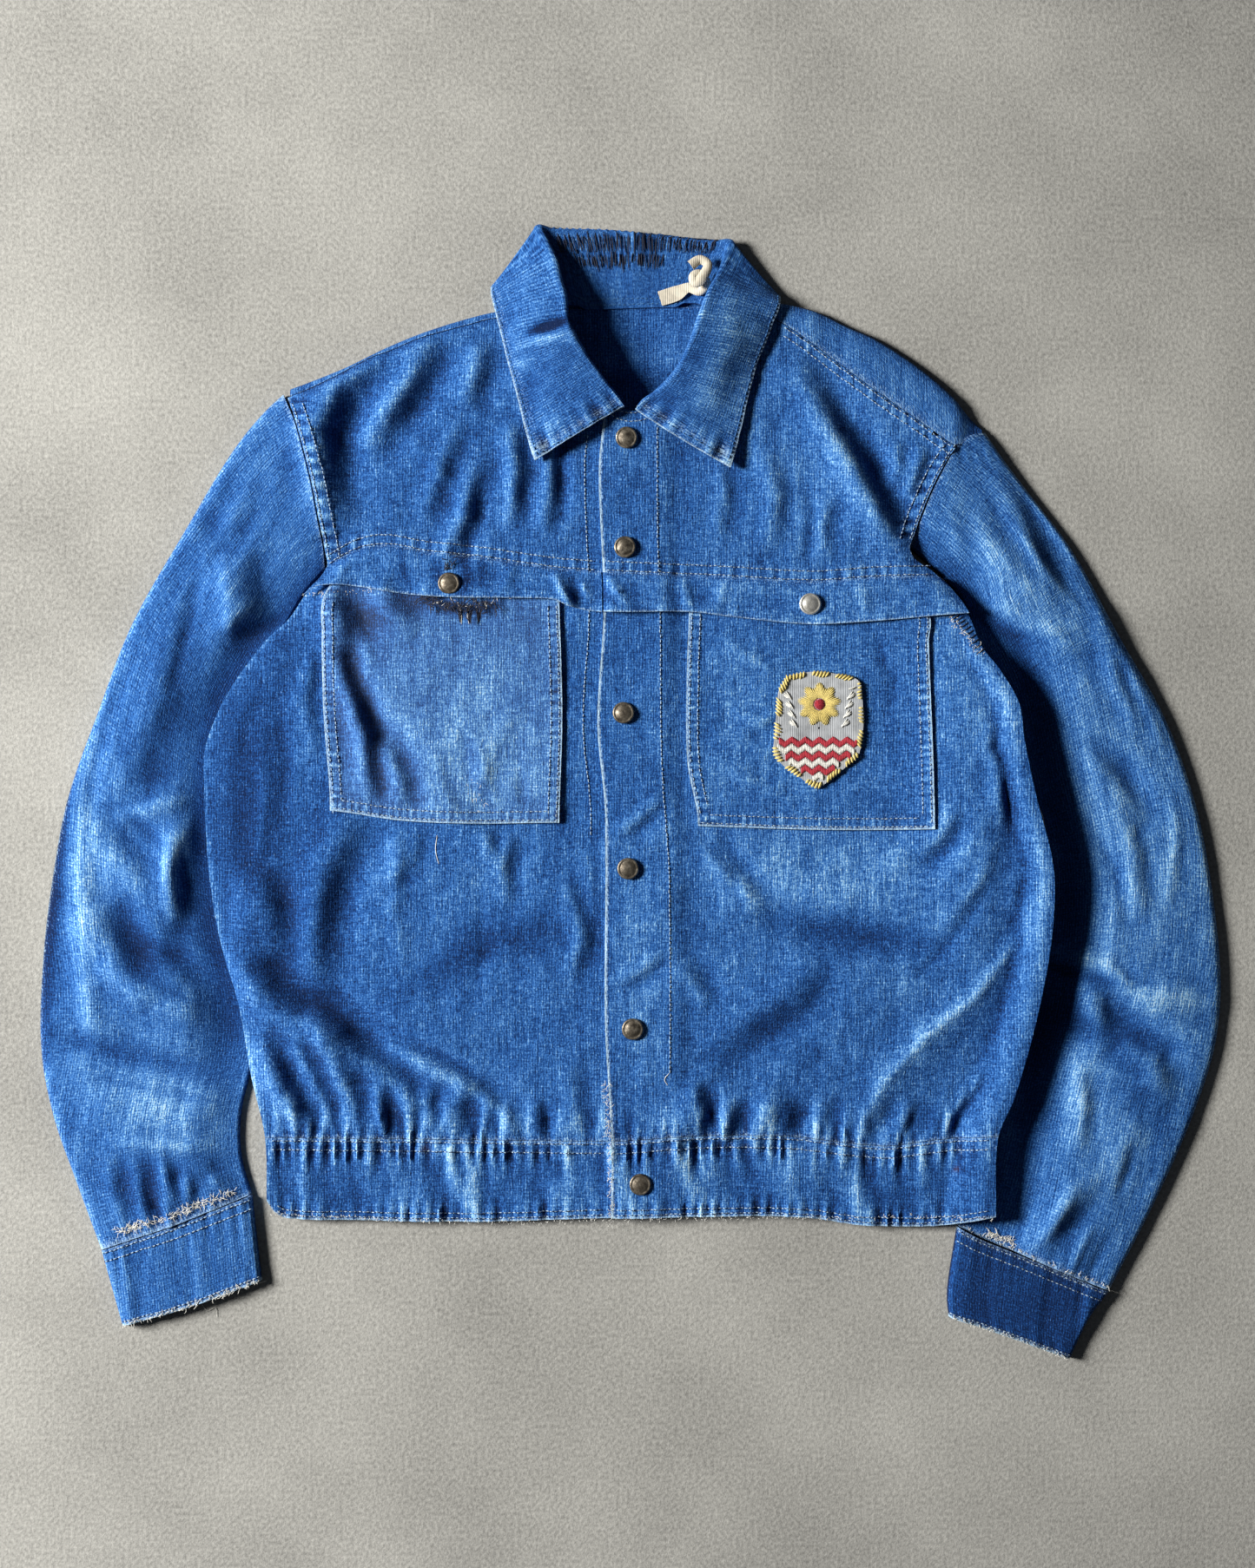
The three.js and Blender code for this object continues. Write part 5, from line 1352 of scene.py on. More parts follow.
COLLAR = np.array([
    [(-9, 249, 15), (-4, 252, 18), (-63, 217, 15.5)],
    [(-17, 259, 15), (-10, 260, 21), (-66, 226, 15)],
    [(-29, 272, 15), (-19, 272, 24), (-70, 240, 14.5)],
    [(-41, 284, 15), (-28, 285, 26.5), (-75, 260, 14.5)],
    [(-50, 294, 15), (-35, 295, 28), (-80, 280, 14.5)],
    [(-56, 304, 14.5), (-39.5, 307, 28), (-85, 299, 14.5)],
    [(-54, 311, 13.5), (-41.5, 322, 26), (-88, 311, 14)],
    [(-47, 316, 12), (-45.5, 334, 22), (-90, 319, 12.5)],
    [(-44, 318.5, 10), (-50, 349, 17), (-92, 327, 9)],
    [(-42, 320, 9), (-56, 362, 12), (-92, 332, 6)],
    [(-40, 320, 8), (-60.5, 372.5, 8), (-92, 330, 3.5)],
    [(-34, 320, 7.2), (-52, 371.5, 4.5), (-86, 314, 0.8)],
    [(-26, 320.5, 7), (-40, 371, 3.7), (-68, 302, 0)],
    [(-12, 321, 7), (-20, 370.5, 3.4), (-38, 296, 0)],
    [(2, 321.5, 7), (0, 369, 3.3), (0, 294, 0)],
    [(15, 322, 7), (20, 367, 3.4), (40, 296, 0)],
    [(28, 322, 7), (40, 364.5, 3.7), (70, 302, 0)],
    [(37, 321.5, 7.2), (56, 363.5, 4.5), (90, 312, 0.8)],
    [(43, 321, 8), (65, 362.5, 8), (98, 324, 3.5)],
    [(46, 320, 9), (61, 350, 12), (98, 326, 6)],
    [(50, 318, 10.5), (55.5, 338, 17), (98, 323, 10)],
    [(53, 314, 12.5), (50, 328, 22), (97, 317, 13.5)],
    [(56, 306, 14.5), (45, 314, 26), (93, 307, 14.5)],
    [(53, 294, 15), (40, 299, 28), (88, 294, 14.5)],
    [(46, 284, 15), (34, 286, 27), (82, 278, 14.5)],
    [(38, 275, 15), (27.5, 274, 25), (77, 260, 14.5)],
    [(29, 266, 15), (19.5, 265.5, 22.5), (73, 242, 15)],
    [(18, 257, 15), (11, 259, 20), (69, 226, 15)],
    [(10, 249, 15), (3, 251, 18), (65, 212.5, 15.5)]], float)
COLLAR_CREASES = [
    (-1.2, 4, [(-64, 300), (-52, 303), (-42, 306)]),
    (0.5, 5, [(-66, 294), (-54, 295), (-44, 297)]),
    (0.4, 9, [(-58, 262), (-52, 240), (-44, 228)]),
    (-0.4, 8, [(-62, 286), (-66, 262), (-62, 244)]),
    (0.4, 9, [(66, 300), (58, 276), (48, 256)]),
    (-0.3, 8, [(74, 284), (66, 258), (58, 240)])]
COLLAR_TONES = [
    # the crease's dark line is painted shade and the pale line beside it a painted highlight
    (-2.4, 2.6, [(-66, 299), (-54, 302), (-43, 306)]),
    (0.2, 4, [(-68, 292), (-56, 294), (-44, 298)]),
    (-0.4, 10, [(-48, 262), (-30, 252), (-18, 248)]),
    (0.2, 12, [(-72, 280), (-66, 250), (-60, 232)]),
    (-0.4, 8, [(48, 288), (34, 268), (24, 256)]),
    (0.5, 26, [(70, 330), (66, 280), (60, 236)]),
    (0.5, 8, [(78, 286), (72, 256), (66, 236)])]
COLLAR_WALL = 1.9  # the collar's thickness
COLLAR_INSET = 2.4  # its stitches stand this far from its edge
COLLAR_SECTIONS = 230
STAND_STEPS = 10
ROLL_STEPS = 8
FALL_STEPS = 22


def unit(v):
    return v / np.linalg.norm(v, axis=-1, keepdims=True)


def dot(a, b):
    return (a * b).sum(-1, keepdims=True)


def collar_grid():
    """Face points of stand, roll and fall, and each section's place in the collar's table."""
    stations = np.arange(len(COLLAR))
    s = np.linspace(0, len(COLLAR) - 1, COLLAR_SECTIONS)
    rails = [np.stack([through(list(zip(stations, COLLAR[:, rail, axis])))(s)
                       for axis in range(3)], -1) for rail in range(3)]
    seam, roll, edge = rails
    behind = smooth((36 - np.abs(seam[:, 0])) / 8) * smooth((seam[:, 1] - 312) / 6)
    seam[:, 1] -= 3.4 * behind
    out = unit(roll - (seam + edge) / 2)
    fall_side = edge - seam
    fall_side = unit(fall_side - out * dot(fall_side, out))
    centre = roll - out * COLLAR_ROLL
    start = centre - fall_side * COLLAR_ROLL
    end = centre + fall_side * COLLAR_ROLL
    face = []
    for t in np.linspace(0, 1, STAND_STEPS, endpoint=False):
        face.append(lerp(seam, start, t))
    for turn in np.linspace(-0.5, 0.5, ROLL_STEPS + 1):
        spoke = out * math.cos(turn * math.pi) + fall_side * math.sin(turn * math.pi)
        face.append(centre + spoke * COLLAR_ROLL)
    for t in np.linspace(0, 1, FALL_STEPS + 1)[1:]:
        crown = 2.5 * math.sin(math.pi * t) * np.maximum(0, fall_side[:, 2:])
        face.append(lerp(end, edge, t) + fall_side * crown)
    return np.stack(face, 1), s


collar_face, collar_station = collar_grid()
collar_across = np.append(0, np.cumsum(
    np.linalg.norm(np.diff(collar_face, axis=1), axis=2).mean(0)))
collar_along = np.append(0, np.cumsum(
    np.linalg.norm(np.diff(collar_face[:, -1], axis=0), axis=1)))
along_collar, across_collar = np.meshgrid(collar_along, collar_across, indexing="ij")
from_edge = collar_across[-1] - across_collar
from_ends = np.minimum(along_collar, collar_along[-1] - along_collar)
collar_normal = normals(collar_face)
x, y, z = np.moveaxis(collar_face, -1, 0)
wrinkle = 0.8 * rough(along_collar, from_edge, 24, 71)
wrinkle += 0.35 * rough(along_collar, from_edge, 9, 72)
wrinkle += puckers(along_collar, from_edge - 4, 0.35, 6, 73)
wrinkle += puckers(from_edge, from_ends - 6, 2.4, 9, 75)
wrinkle += 2.2 * folded(COLLAR_CREASES, x, y)
darned = smooth((y - 340) / 5) * smooth((56 - np.abs(x)) / 8)
gathered = 0.7 * darned * np.sin(2 * math.pi * x / 4.3)
fall = smooth((z - 9) / 5)
collar_outer = collar_face - collar_normal * (wrinkle * fall + gathered * (1 - fall))[..., None]
collar_outer[..., 2] = np.maximum(collar_outer[..., 2], 0)
end_puckers = puckers(from_edge, from_ends - 5, 1, 7, 75)
# the collar's tone also follows its wrinkles and end puckers, darker and paler with their relief as
# painted shade and light
collar_tone = 0.3 * wrinkle + (0.8 * end_puckers + folded(COLLAR_TONES, x, y)) * fall
collar_rub = 0.95 * near(from_edge, 1.0) + 0.3 * near(from_edge - 5, 3)
collar_rub += 0.95 * near(from_ends, 1.0) + 0.4 * near(from_ends - 6, 4)
shell("collar_cloth", collar_outer, collar_face + collar_normal * COLLAR_WALL, DENIM,
      "collar", cloth=np.stack([along_collar, across_collar, 0 * from_edge], -1),
      rub=collar_rub, tone=collar_tone, flip=True)


# Sewing: rows of stitches, mending and loose ends, as joined meshes of thin strands


def tube_faces(ids):
    """Faces of closed tubes, from their vertices' numbers by tube, ring and place in the ring."""
    after = np.roll(ids, -1, axis=2)
    quads = np.stack([ids[:, :-1], after[:, :-1], after[:, 1:], ids[:, 1:]], -1).reshape(-1, 4)
    return quads.tolist() + ids[:, 0, ::-1].tolist() + ids[:, -1].tolist()


def strands(name, paths, radius, material, sides=5):
    """One mesh of small tubes; paths is an array of (count, points, 3)."""
    paths = np.asarray(paths, float)
    count, length = paths.shape[:2]
    tangent = unit(np.gradient(paths, axis=1) + 1e-9)
    aside = unit(np.cross(tangent, [0.03, 0.05, 1.0]))
    above = np.cross(aside, tangent)
    taper = np.sqrt(np.maximum(1 - np.linspace(-1, 1, length) ** 4, 0.12))[None, :, None, None]
    turn = np.linspace(0, 2 * math.pi, sides, endpoint=False)[:, None]
    ring = np.cos(turn) * aside[:, :, None] + np.sin(turn) * above[:, :, None]
    radius = np.broadcast_to(radius, (count,))[:, None, None, None]
    points = paths[:, :, None] + ring * radius * taper
    ids = np.arange(count * length * sides).reshape(count, length, sides)
    piece = make_mesh(name, points.reshape(-1, 3), tube_faces(ids), material)


def along_path(points, pitch, length, rise=0.3, jitter=0.12, first=0.3):
    """Stitches of three points along a polyline in space."""
    points = np.asarray(points, float)
    run = np.append(0, np.cumsum(np.linalg.norm(np.diff(points, axis=0), axis=1)))
    starts = np.arange(first, run[-1] - length, pitch)
    starts = starts + random.uniform(-jitter, jitter, len(starts)) * pitch
    place = starts[:, None] + np.array([0, 0.5, 1.0]) * length
    result = np.stack([np.interp(place, run, axis) for axis in points.T], -1)
    result[:, 1, 2] += rise
    result[:, :, :2] += random.normal(0, 0.12, (len(starts), 1, 2))
    return list(result)


def level_run(line, low, high, height, shift=0.0, lift=0.1):
    x = np.arange(low, high, 1.5)
    y = line(x) + shift
    return np.stack([x, y, height(x, y) + lift], -1)


def upright_run(line, low, high, height, shift=0.0, lift=0.1):
    y = np.arange(low, high, 1.5)
    x = line(y) + shift
    return np.stack([x, y, height(x, y) + lift], -1)


def front_seams():
    runs = []
    for height, low, high in ((front_height, -198, -22), (over_front_height, -16, 198)):
        for shift in (1.8, 7.5):
            runs.append(level_run(chest_seam, low, high, height, shift))
    for shift in (2.0, 9.0):
        runs.append(upright_run(body_right_side, 152, 256, front_height, shift))
        runs.append(upright_run(body_left_side, 166, 230, front_height, -shift))
    for shift in (-2.0, -8.0):
        runs.append(level_run(shoulder_seam, 100, 211, over_front_height, shift))
        runs.append(level_run(waist_seam, -236, -16, front_height, shift))
        runs.append(level_run(waist_seam, -10, 234, over_band_height, shift))
    for shift in (2.2, 5.4):
        runs.append(level_run(hem, -232, -16, front_height, shift))
        runs.append(level_run(hem, -10, 234, over_band_height, shift))
    for shift in (-1.5, -7.0):
        runs.append(level_run(shoulder_seam, -13, 12, over_front_height, shift))
    runs.append(upright_run(facing_stitch, -184, 246, over_front_height))
    runs.append(upright_run(lambda y: lapping_edge(y) - 9.5, -28, 236, front_height))
    pockets = ((right_pocket_outer, right_pocket_inner, front_height),
               (left_pocket_inner, left_pocket_outer, over_front_height))
    on_pocket = ON_FRONT + 0.35
    for outer, inner, height in pockets:
        for shift in (2.0, 7.4):
            bottom = -16 + shift
            runs.append(upright_run(outer, bottom, 126, height, shift, on_pocket))
            runs.append(upright_run(inner, bottom - 6, 124, height, -shift, on_pocket))
            low = outer(-18.0) + shift
            high = inner(-18.0) - shift
            runs.append(level_run(pocket_bottom, low, high, height, shift, on_pocket))
    return runs


def grid_run(grid, row, low, high, lift=0.15):
    """A run across a tube's upper face at one fractional row."""
    columns = np.linspace(low, high, 90)
    points = on_grid(grid, np.full(90, float(row)), columns)
    return points + [0, 0, lift]


def tube_seams():
    runs = []
    for grid in (right_cuff, left_cuff):
        for row in (0.8, 3.2, CUFF_ROWS - 1.2):
            runs.append(grid_run(grid, row, 1, TOP_STEPS - 1))
    return runs


def collar_run(row, column, lift=0.15):
    """Points on the collar's face at fractional stations and columns."""
    return on_grid(collar_outer, np.asarray(row, float), np.asarray(column, float)) + [0, 0, lift]


def collar_seams():
    """Stitches along both ends, the edge's two front parts and the stand behind the neck."""
    last = COLLAR_SECTIONS - 1
    edge_column = collar_outer.shape[1] - 1
    inset = COLLAR_INSET / (collar_across[-1] - collar_across[-2])
    end_row = np.interp(COLLAR_INSET, collar_along, np.arange(COLLAR_SECTIONS))
    fall_columns = np.linspace(STAND_STEPS + ROLL_STEPS, edge_column - inset, 60)
    ones = np.ones(60)
    runs = [collar_run(ones * end_row, fall_columns),
            collar_run(ones * (last - end_row * 1.2), fall_columns)]
    count = 700
    rows = np.linspace(end_row, last - end_row, count)
    edge = collar_run(rows, np.full(count, edge_column - inset))
    front = int(count * 0.31)
    runs += [edge[:front], edge[-front:]]
    behind = np.linspace(last * 0.4, last * 0.6, 80)
    runs += [collar_run(behind, np.full(80, column)) for column in (0.5, 1.3)]
    return runs


def sewn(runs, length, first):
    return [stitch for run in runs for stitch in along_path(run, STITCH_PITCH, length, first=first)]


SEWN_RUNS = front_seams() + tube_seams()
strands("seam_stitches", sewn(SEWN_RUNS, STITCH_LENGTH, 0.3), 0.42, PALE_THREAD)
# dark strands in the gaps between the pale stitches: painted shade, not thread
strands("seam_gap_shade", sewn(SEWN_RUNS, 1.0, 0.4 + STITCH_LENGTH), 0.5, STITCH_GAP_SHADE)
strands("collar_stitches", sewn(collar_seams(), STITCH_LENGTH, 0.3), 0.34, BLUE_THREAD)


def darning():
    """Two rows of long dark stitches that hold the worn top of the collar's stand."""
    stations = np.arange(COLLAR_SECTIONS)
    middle = collar_outer[:, STAND_STEPS, 0]
    behind = (collar_station > 10.5) & (collar_station < 17.5)
    columns = np.arange(STAND_STEPS + ROLL_STEPS // 2 + 1)
    result = []
    for low, high, left_x, right_x, pitch in ((355, 368, -50, 55, 1.9), (345, 354, -40, 22, 1.9)):
        for x in np.arange(left_x, right_x, pitch):
            x = x + random.normal(0, 0.25)
            station = np.interp(x, middle[behind], stations[behind])
            height_at = collar_outer[int(station), :len(columns), 1]
            top = high + random.normal(0, 1.3) - 0.02 * abs(x)
            base = low + random.normal(0, 1.6)
            y = np.linspace(base, top, 6)
            column = np.interp(y, height_at, columns)
            points = on_grid(collar_outer, np.full(6, station), column)
            points[:, 0] += np.linspace(0, random.normal(0, 0.8), 6)
            points[:, 2] += 0.8
            result.append(points)
    return result


strands("collar_darning", darning(), 0.33, BLACK_THREAD)

# Frayed places as (line, number of fibres, their length, how far they start from the line).
PALE_FRAYS = [
    ([(-16, -190), (-14, -232)], 70, 3.2, 1.0),
    ([(-14, -232), (-13, -284)], 90, 2.2, 0.8),
    ([(-130, 126), (-112, 123), (-88, 124)], 24, 3.0, 1.6),
    ([(-100, 129), (-62, 129)], 40, 2.0, 0.8),
    ([(-214, 128), (-160, 133)], 30, 2.0, 0.6),
    ([(-236, -276), (-100, -281.5), (-13, -279.5)], 150, 1.8, 0.6),
    ([(-12, -279.5), (110, -279), (236, -278)], 150, 1.8, 0.6),
    ([(206, 120), (216, 104), (228, 92)], 60, 2.6, 1.5),
    ([(-105, 8), (-98, -10)], 16, 2.4, 3.0)]
BLACK_FRAYS = [
    ([(-138, 127), (-112, 121), (-86, 123)], 90, 6.0, 2.2),
    ([(-118, 146), (-116, 152)], 10, 6.0, 3.0)]


def fibre(start, angle, length, height, lift):
    """A curled fibre that lies on the surface of the given height."""
    t = np.linspace(0, 1, 5)
    bend = random.normal(0, 1.1)
    turn = angle + bend * t
    step = length / 4
    x = start[0] + np.append(0, np.cumsum(np.cos(turn[:-1]) * step))
    y = start[1] + np.append(0, np.cumsum(np.sin(turn[:-1]) * step))
    z = height(x, y) + lift + 0.9 * np.sin(math.pi * t) * random.uniform(0.2, 1)
    return np.stack([x, y, z], -1)


def frays(places, height, lift=2.6):
    result = []
    for line, count, length, spread in places:
        for place in path(line)(random.uniform(0, 1, count)):
            start = place + random.normal(0, spread, 2)
            angle = random.uniform(0, 2 * math.pi)
            result.append(fibre(start, angle, length * random.uniform(0.4, 1.3), height, lift))
    return result


strands("pale_frays", frays(PALE_FRAYS, over_front_height), 0.16, WHITE_THREAD, 4)
strands("black_frays", frays(BLACK_FRAYS, front_height, 5.2), 0.32, BLACK_THREAD, 4)


def flat_level(level):
    return lambda x, y: level + 0 * x


def cuff_frays():
    """White broken threads along the right cuff's seam, the cuffs' ends and a hole."""
    result = []
    seams = ((right_sleeve, SLEEVE_ROWS - 2.0, 8, 46, 230, 4.0, 2.0),
             (right_cuff, CUFF_ROWS - 0.2, 2, 56, 120, 3.0, 0.5),
             (left_sleeve, SLEEVE_ROWS - 1.5, 14, 22, 70, 3.4, 1.6),
             (left_sleeve, SLEEVE_ROWS - 0.5, 2, 56, 60, 2.2, 0.6),
             (left_cuff, CUFF_ROWS - 0.2, 2, 56, 80, 1.8, 0.4))
    for grid, row, low, high, count, length, spread in seams:
        columns = random.uniform(low, high, count)
        for place in on_grid(grid, np.full(count, row), columns):
            start = place[:2] + random.normal(0, spread * 0.5, 2)
            angle = random.uniform(0, 2 * math.pi)
            result.append(fibre(start, angle, length * random.uniform(0.4, 1.4),
                                flat_level(place[2]), 0.3))
    return result


strands("cuff_frays", cuff_frays(), 0.19, WHITE_THREAD, 4)


def laid_thread(points, height, lift):
    """A thread along points in plan, on a surface of the given height."""
    plan = path(points)(np.linspace(0, 1, 16))
    return np.column_stack([plan, height(plan[:, 0], plan[:, 1]) + lift])


LOOSE_THREADS = [
    laid_thread([(-127, -28), (-128, -38), (-126, -47)], front_height, 0.2),
    laid_thread([(25, -184), (22, -188), (24, -192)], over_front_height, 0.2),
    laid_thread([(250, 20), (257, 4), (268, -12), (272, -30)], flat_level(12.5), 0.2),
    laid_thread([(-279, -333), (-283, -337), (-279, -342), (-274, -340), (-273, -347)],
                flat_level(0.4), 0.0),
    laid_thread([(-250, -318), (-246, -323), (-240, -322)], flat_level(3.0), 0.0),
    laid_thread([(-113, 123), (-111, 117), (-111, 110)], front_height, 2.6),
    laid_thread([(-105, 123), (-107, 117), (-106, 110)], front_height, 2.6)]
strands("loose_threads", LOOSE_THREADS, 0.24, WHITE_THREAD, 4)


def mending():
    """Dark whip stitches: forks below the right flap and a row on the left side."""
    result = []
    for x in (-112, -106, -100):
        for dx, top in ((-1.6, 120), (1.6, 120), (0, 116)):
            ends = [(x + dx, top), (x + dx * 0.4, 117), (x, 111)]
            result.append(laid_thread(ends, front_height, 2.7)[::3])
    for t in np.linspace(0, 1, 13):
        x, y = lerp(207.0, 228.0, t), lerp(118.0, 92.0, t) + 4 * math.sin(math.pi * t)
        ends = [(x - 3, y - 1.5), (x, y), (x + 2.6, y + 2.2)]
        result.append(laid_thread(ends, over_front_height, 0.4)[::3])
    return result


strands("dark_mending", mending(), 0.38, BLACK_THREAD)


# Snaps


def snap_cap(name, place, height, lift, metal=BRASS):
    """A pressed cap with a raised rim and middle, tilted as the cloth below it is."""
    x0, y0 = place
    reach = SNAP_RADIUS
    sample = np.array([[x0 + reach, y0], [x0 - reach, y0], [x0, y0 + reach], [x0, y0 - reach],
                       [x0, y0]])
    z = height(sample[:, 0], sample[:, 1])
    normal = unit(np.array([(z[1] - z[0]) / (2 * reach), (z[3] - z[2]) / (2 * reach), 1.0]))
    side = unit(np.cross([0, 1.0, 0], normal))
    front_axis = np.cross(normal, side)
    profile = [(0, 0), (reach - 0.6, 0), (reach, 0.5), (reach, 1.1), (reach - 0.4, 1.7),
               (reach - 1.0, 1.85), (reach - 1.5, 1.6), (reach - 2.1, 1.75), (reach * 0.5, 2.4),
               (reach * 0.25, 2.65), (0.01, 2.7)]
    turns = np.linspace(0, 2 * math.pi, SNAP_SIDES, endpoint=False)
    ring = np.cos(turns)[:, None] * side + np.sin(turns)[:, None] * front_axis
    base = np.array([x0, y0, z[4] + lift])
    points = np.concatenate([base + normal * h + ring * max(r, 0.01) for r, h in profile])
    ids = np.arange(len(points)).reshape(1, len(profile), SNAP_SIDES)
    piece = make_mesh(f"{name}_cap", points, tube_faces(ids), metal)
    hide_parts(name)


SNAPS = [(-3, 232), (-4, 160.5), (-5, 52), (-2, -50), (1, -155), (6, -257)]
for number, place in enumerate(SNAPS, 1):
    snap_cap(f"snap_{number}", place, over_front_height, 0.8)
snap_cap("snap_flap_right", (-119, 136.5), front_height, 2 * ON_FRONT + 0.6)
snap_cap("snap_flap_left", (117, 123), over_front_height, 2 * ON_FRONT + 0.6, SILVER)


# The tape loop


def tape_loop():
    route = path([(19, 324, 8.2), (30, 327.5, 8.8), (38, 331, 10.5), (45, 328.5, 13), (49, 333, 16),
                  (45, 338, 18.5), (41, 336.5, 20), (42, 332.5, 20.6), (46, 335, 21),
                  (50, 345, 18), (45, 348, 17), (39, 344, 18.5)])
    t = np.linspace(0, 1, 90)
    points = route(t)
    heading = np.gradient(points, axis=0)
    heading[:, 2] = 0
    heading = unit(heading)
    aside = np.stack([-heading[:, 1], heading[:, 0], 0 * t], -1)
    narrowing = through([(0, 1), (0.14, 1), (0.24, 0.66), (0.7, 0.7), (0.85, 0.6), (1, 0.7)])(t)
    across = np.linspace(-4.9, 4.9, 7)
    face = points[:, None] + aside[:, None] * (across[None, :] * narrowing[:, None])[..., None]
    face[..., 2] -= 0.06 * across[None, :] ** 2 * smooth((t[:, None] - 0.2) / 0.1)
    shell("hang_loop_tape", face, face - [0, 0, 0.9], TAPE, "hang_loop", flip=True)


tape_loop()


# The badge

BADGE_OUTLINE = [
    (101.6, 75.6), (96.5, 66), (95, 52), (94, 38), (93.6, 25), (99, 18), (110, 10), (121.6, 3),
    (130, 8), (141, 17), (148, 23), (151, 34), (152, 48), (151, 62), (149.5, 72), (143, 76),
    (134, 77.5), (123, 79), (111, 78)]
BADGE_CENTRE = np.array([123.0, 42.0])
BADGE_THICKNESS = 1.4


def badge_height(x, y):
    return over_front_height(x, y) + ON_FRONT + 0.9


def badge_rim(share):
    return path(BADGE_OUTLINE + BADGE_OUTLINE[:1])(share)


def badge():
    count = 120
    rim = badge_rim(np.linspace(0, 1, count, endpoint=False))
    scales = np.linspace(1, 0.02, 26)[:, None, None]
    plan = BADGE_CENTRE + (rim - BADGE_CENTRE)[None] * scales
    x, y = plan[..., 0], plan[..., 1]
    low = np.stack([x, y, badge_height(x, y)], -1)
    high = low + [0, 0, BADGE_THICKNESS]
    shell("badge_ground", high, low, BADGE_TWILL, "badge", closed=True, flip=True)


badge()


def in_badge(x, y, margin):
    """Whether a point is inside the badge's outline by a margin."""
    rim = badge_rim(np.linspace(0, 1, 200))
    angles = np.arctan2(rim[:, 1] - BADGE_CENTRE[1], rim[:, 0] - BADGE_CENTRE[0])
    radii = np.hypot(rim[:, 0] - BADGE_CENTRE[0], rim[:, 1] - BADGE_CENTRE[1])
    order = np.argsort(angles)
    angle = math.atan2(y - BADGE_CENTRE[1], x - BADGE_CENTRE[0])
    limit = np.interp(angle, angles[order], radii[order], period=2 * math.pi)
    return math.hypot(x - BADGE_CENTRE[0], y - BADGE_CENTRE[1]) < limit - margin


def on_badge(plan, lift=0.35, crown=0.35):
    plan = np.asarray(plan, float)
    z = badge_height(plan[:, 0], plan[:, 1]) + BADGE_THICKNESS + lift
    z = z + crown * np.sin(math.pi * np.linspace(0, 1, len(plan)))
    return np.column_stack([plan, z])


def satin(start, end, lift=0.35, crown=0.35):
    """One straight stitch on the badge."""
    t = np.linspace(0, 1, 5)[:, None]
    return on_badge(lerp(np.array(start, float), np.array(end, float), t), lift, crown)


ZIGZAG = 9.0  # width of one point of the chevron rows
BAND_RISE = 4.6  # height of one chevron row


def chevrons():
    """Rows of red and white points on the badge's lower part."""
    rows = {"red": [], "white": []}
    for x in np.arange(94.5, 152, 0.85):
        point = abs((x - 123) % ZIGZAG - ZIGZAG / 2) / (ZIGZAG / 2)
        for k in range(8):
            low = 1.5 + k * BAND_RISE + 3.2 * point
            high = low + BAND_RISE - 0.3
            if high < 38 and in_badge(x, low, 2.6) and in_badge(x, high, 2.6):
                rows["red" if k % 2 == 0 else "white"].append(satin((x, low), (x, high)))
    return rows


DAISY_CENTRE = np.array([123.0, 57.5])


def daisy():
    """A yellow daisy on the badge's upper part."""
    result = []
    for petal in range(9):
        angle = 2 * math.pi * petal / 9 + 0.17
        out = np.array([math.cos(angle), math.sin(angle)])
        aside = np.array([-out[1], out[0]])
        for k in np.linspace(-1, 1, 7):
            start = DAISY_CENTRE + out * 4.0 + aside * k * 1.2
            end = DAISY_CENTRE + out * (14.4 - 3.4 * k * k) + aside * k * 3.2
            result.append(satin(start, end))
    return result


def leaves():
    """White leaves on both sides of the daisy."""
    result = []
    for sign in (-1, 1):
        for leaf in range(5):
            base = np.array([123 + sign * (14.5 + 1.2 * leaf), 43 + 6.0 * leaf])
            for k in np.linspace(-1, 1, 5):
                tip = base + [sign * (5.2 - 1.6 * k * k), 3.0 - 2.0 * k]
                if in_badge(*tip, 3.2):
                    result.append(satin(base + [0, 0.7 * k], tip))
    return result


def daisy_eye():
    """Red stitches across the daisy's middle."""
    turns = np.linspace(0, math.pi, 12, endpoint=False)
    spokes = 3.7 * np.stack([np.cos(turns), np.sin(turns)], -1)
    return [satin(DAISY_CENTRE + spoke, DAISY_CENTRE - spoke, 0.6, 0.6) for spoke in spokes]


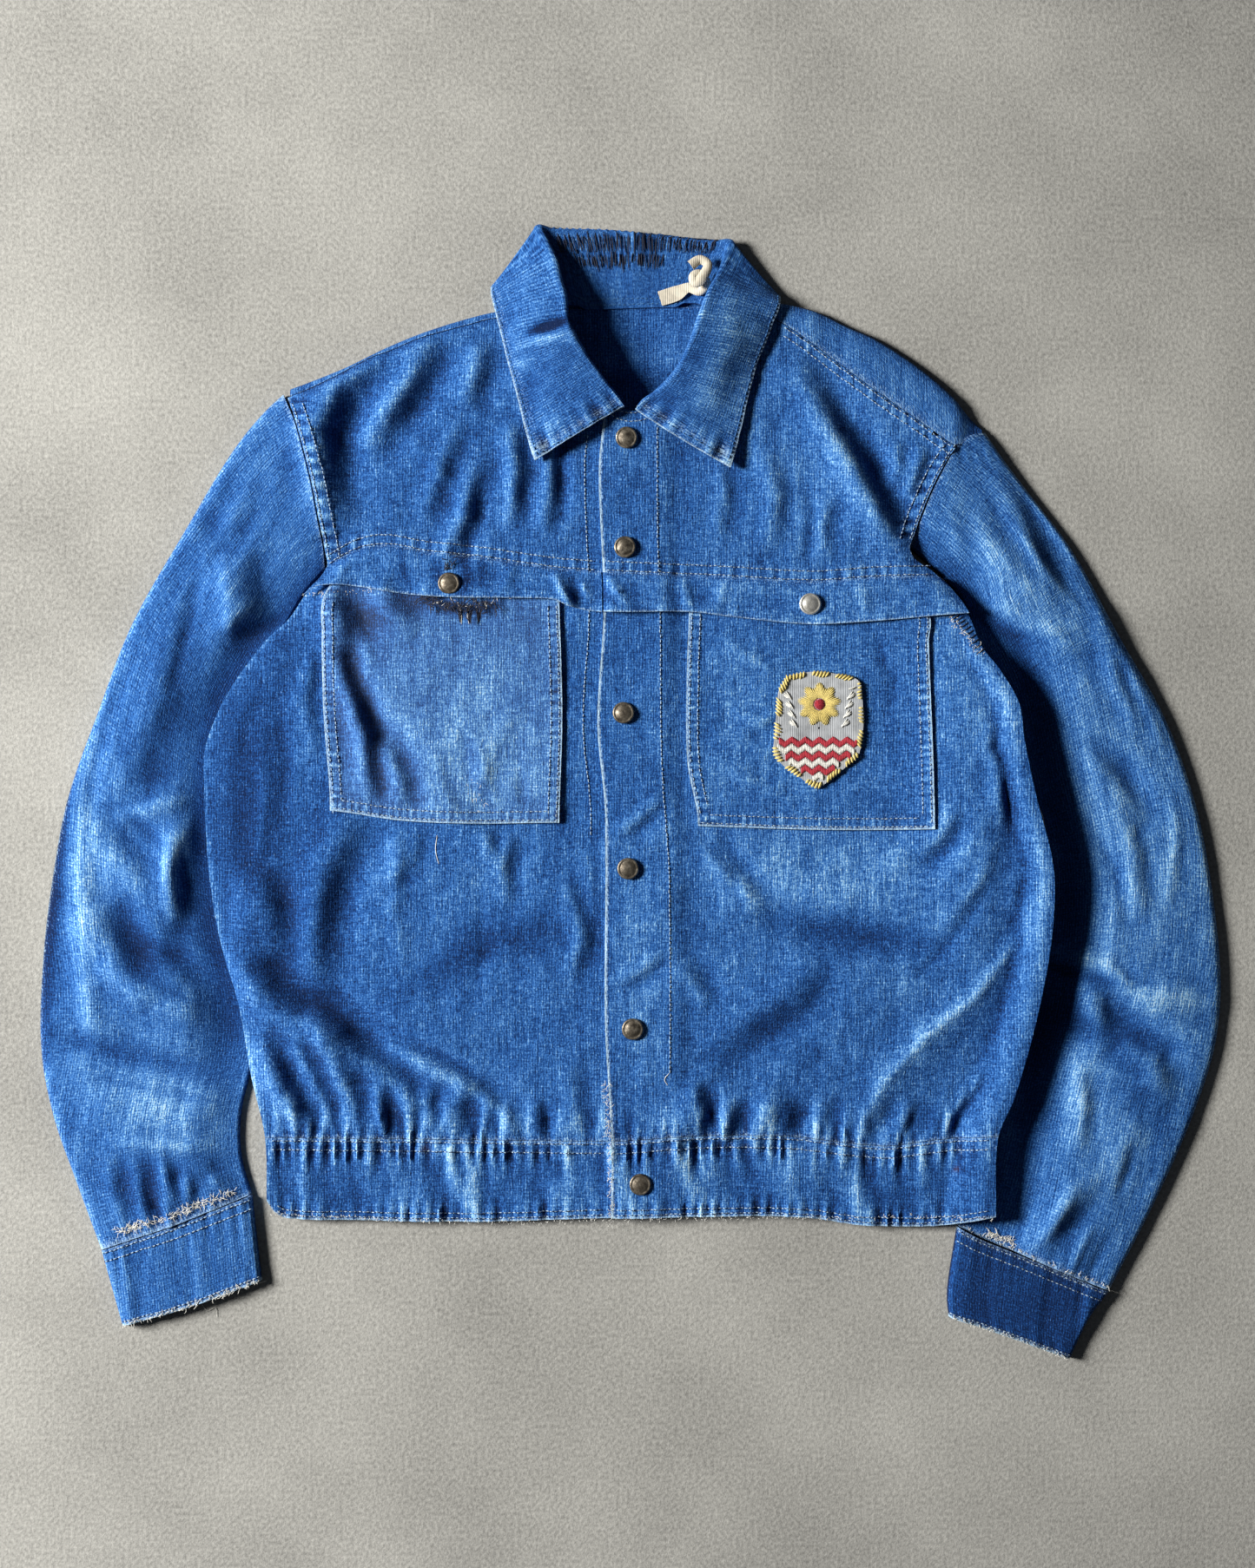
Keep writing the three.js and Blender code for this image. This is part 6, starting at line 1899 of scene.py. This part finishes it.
def whipped_edge():
    """Thick slanting stitches that wrap the badge's edge, in uneven groups."""
    count = 96
    result = []
    for i, share in enumerate(np.linspace(0, 1, count, endpoint=False)):
        if i % 7 in (5, 6):
            continue
        here = badge_rim(np.array([share]))[0]
        ahead = badge_rim(np.array([(share + 0.004) % 1]))[0]
        along = unit(ahead - here)
        inward = unit(BADGE_CENTRE - here)
        reach = 3.0 + 0.8 * math.sin(i * 0.9) + random.normal(0, 0.3)
        t = np.linspace(0, 1, 5)
        plan = [here + inward * lerp(reach, -0.7, k) + along * lerp(1.3, -0.6, k) for k in t]
        points = on_badge(plan, 0.3, 0.5)
        points[-1, 2] -= BADGE_THICKNESS + 0.2
        points[-2, 2] -= 0.35
        result.append(points)
    return result


rows = chevrons()
strands("badge_red_rows", rows["red"], 0.52, RED_THREAD)
strands("badge_white_rows", rows["white"] + leaves(), 0.5, WHITE_THREAD)
strands("badge_daisy", daisy(), 0.5, YELLOW_THREAD)
strands("badge_daisy_eye", daisy_eye(), 0.5, RED_THREAD)
strands("badge_edge", whipped_edge(), 0.72, YELLOW_THREAD)

# Floor, light and camera

mesh = bpy.data.meshes.new("floor")
mesh.from_pydata([(-3, -3, 0), (3, -3, 0), (3, 3, 0), (-3, 3, 0)], [], [(0, 1, 2, 3)])
mesh.materials.append(concrete("plain_floor"))
floor = placed("floor", mesh)
floor.location.z = -0.0002

KEY_PLACE = (-2.72, 0.45, 1.72)
KEY_WATTS = 262
ROOM_STRENGTH = 0.045
key = bpy.data.lights.new("key", "AREA")
key.shape = "DISK"
key.size = 1.0
key.energy = KEY_WATTS
key.color = (1.0, 0.98, 0.95)
key_object = placed("key", key)
key_object.location = KEY_PLACE
direction = -key_object.location.normalized()
key_object.rotation_euler = direction.to_track_quat("-Z", "Y").to_euler()

world = bpy.data.worlds.new("room")
world.use_nodes = True
background = world.node_tree.nodes["Background"]
background.inputs["Color"].default_value = (0.78, 0.86, 1.0, 1.0)
background.inputs["Strength"].default_value = ROOM_STRENGTH
bpy.context.scene.world = world
bpy.context.scene.view_settings.view_transform = "Standard"

CAMERA_HEIGHT = 1.6
FOCUS_LEVEL = 0.008  # height at which the photo's scale holds
VIEW_HALF_HEIGHT = 0.5147
camera = bpy.data.cameras.new("camera")
camera.sensor_fit = "VERTICAL"
camera.sensor_height = 24
camera.lens = 12 * (CAMERA_HEIGHT - FOCUS_LEVEL) / VIEW_HALF_HEIGHT
camera_object = placed("camera", camera)
camera_object.location = (-0.0023, 0.0054, CAMERA_HEIGHT)
bpy.context.scene.camera = camera_object
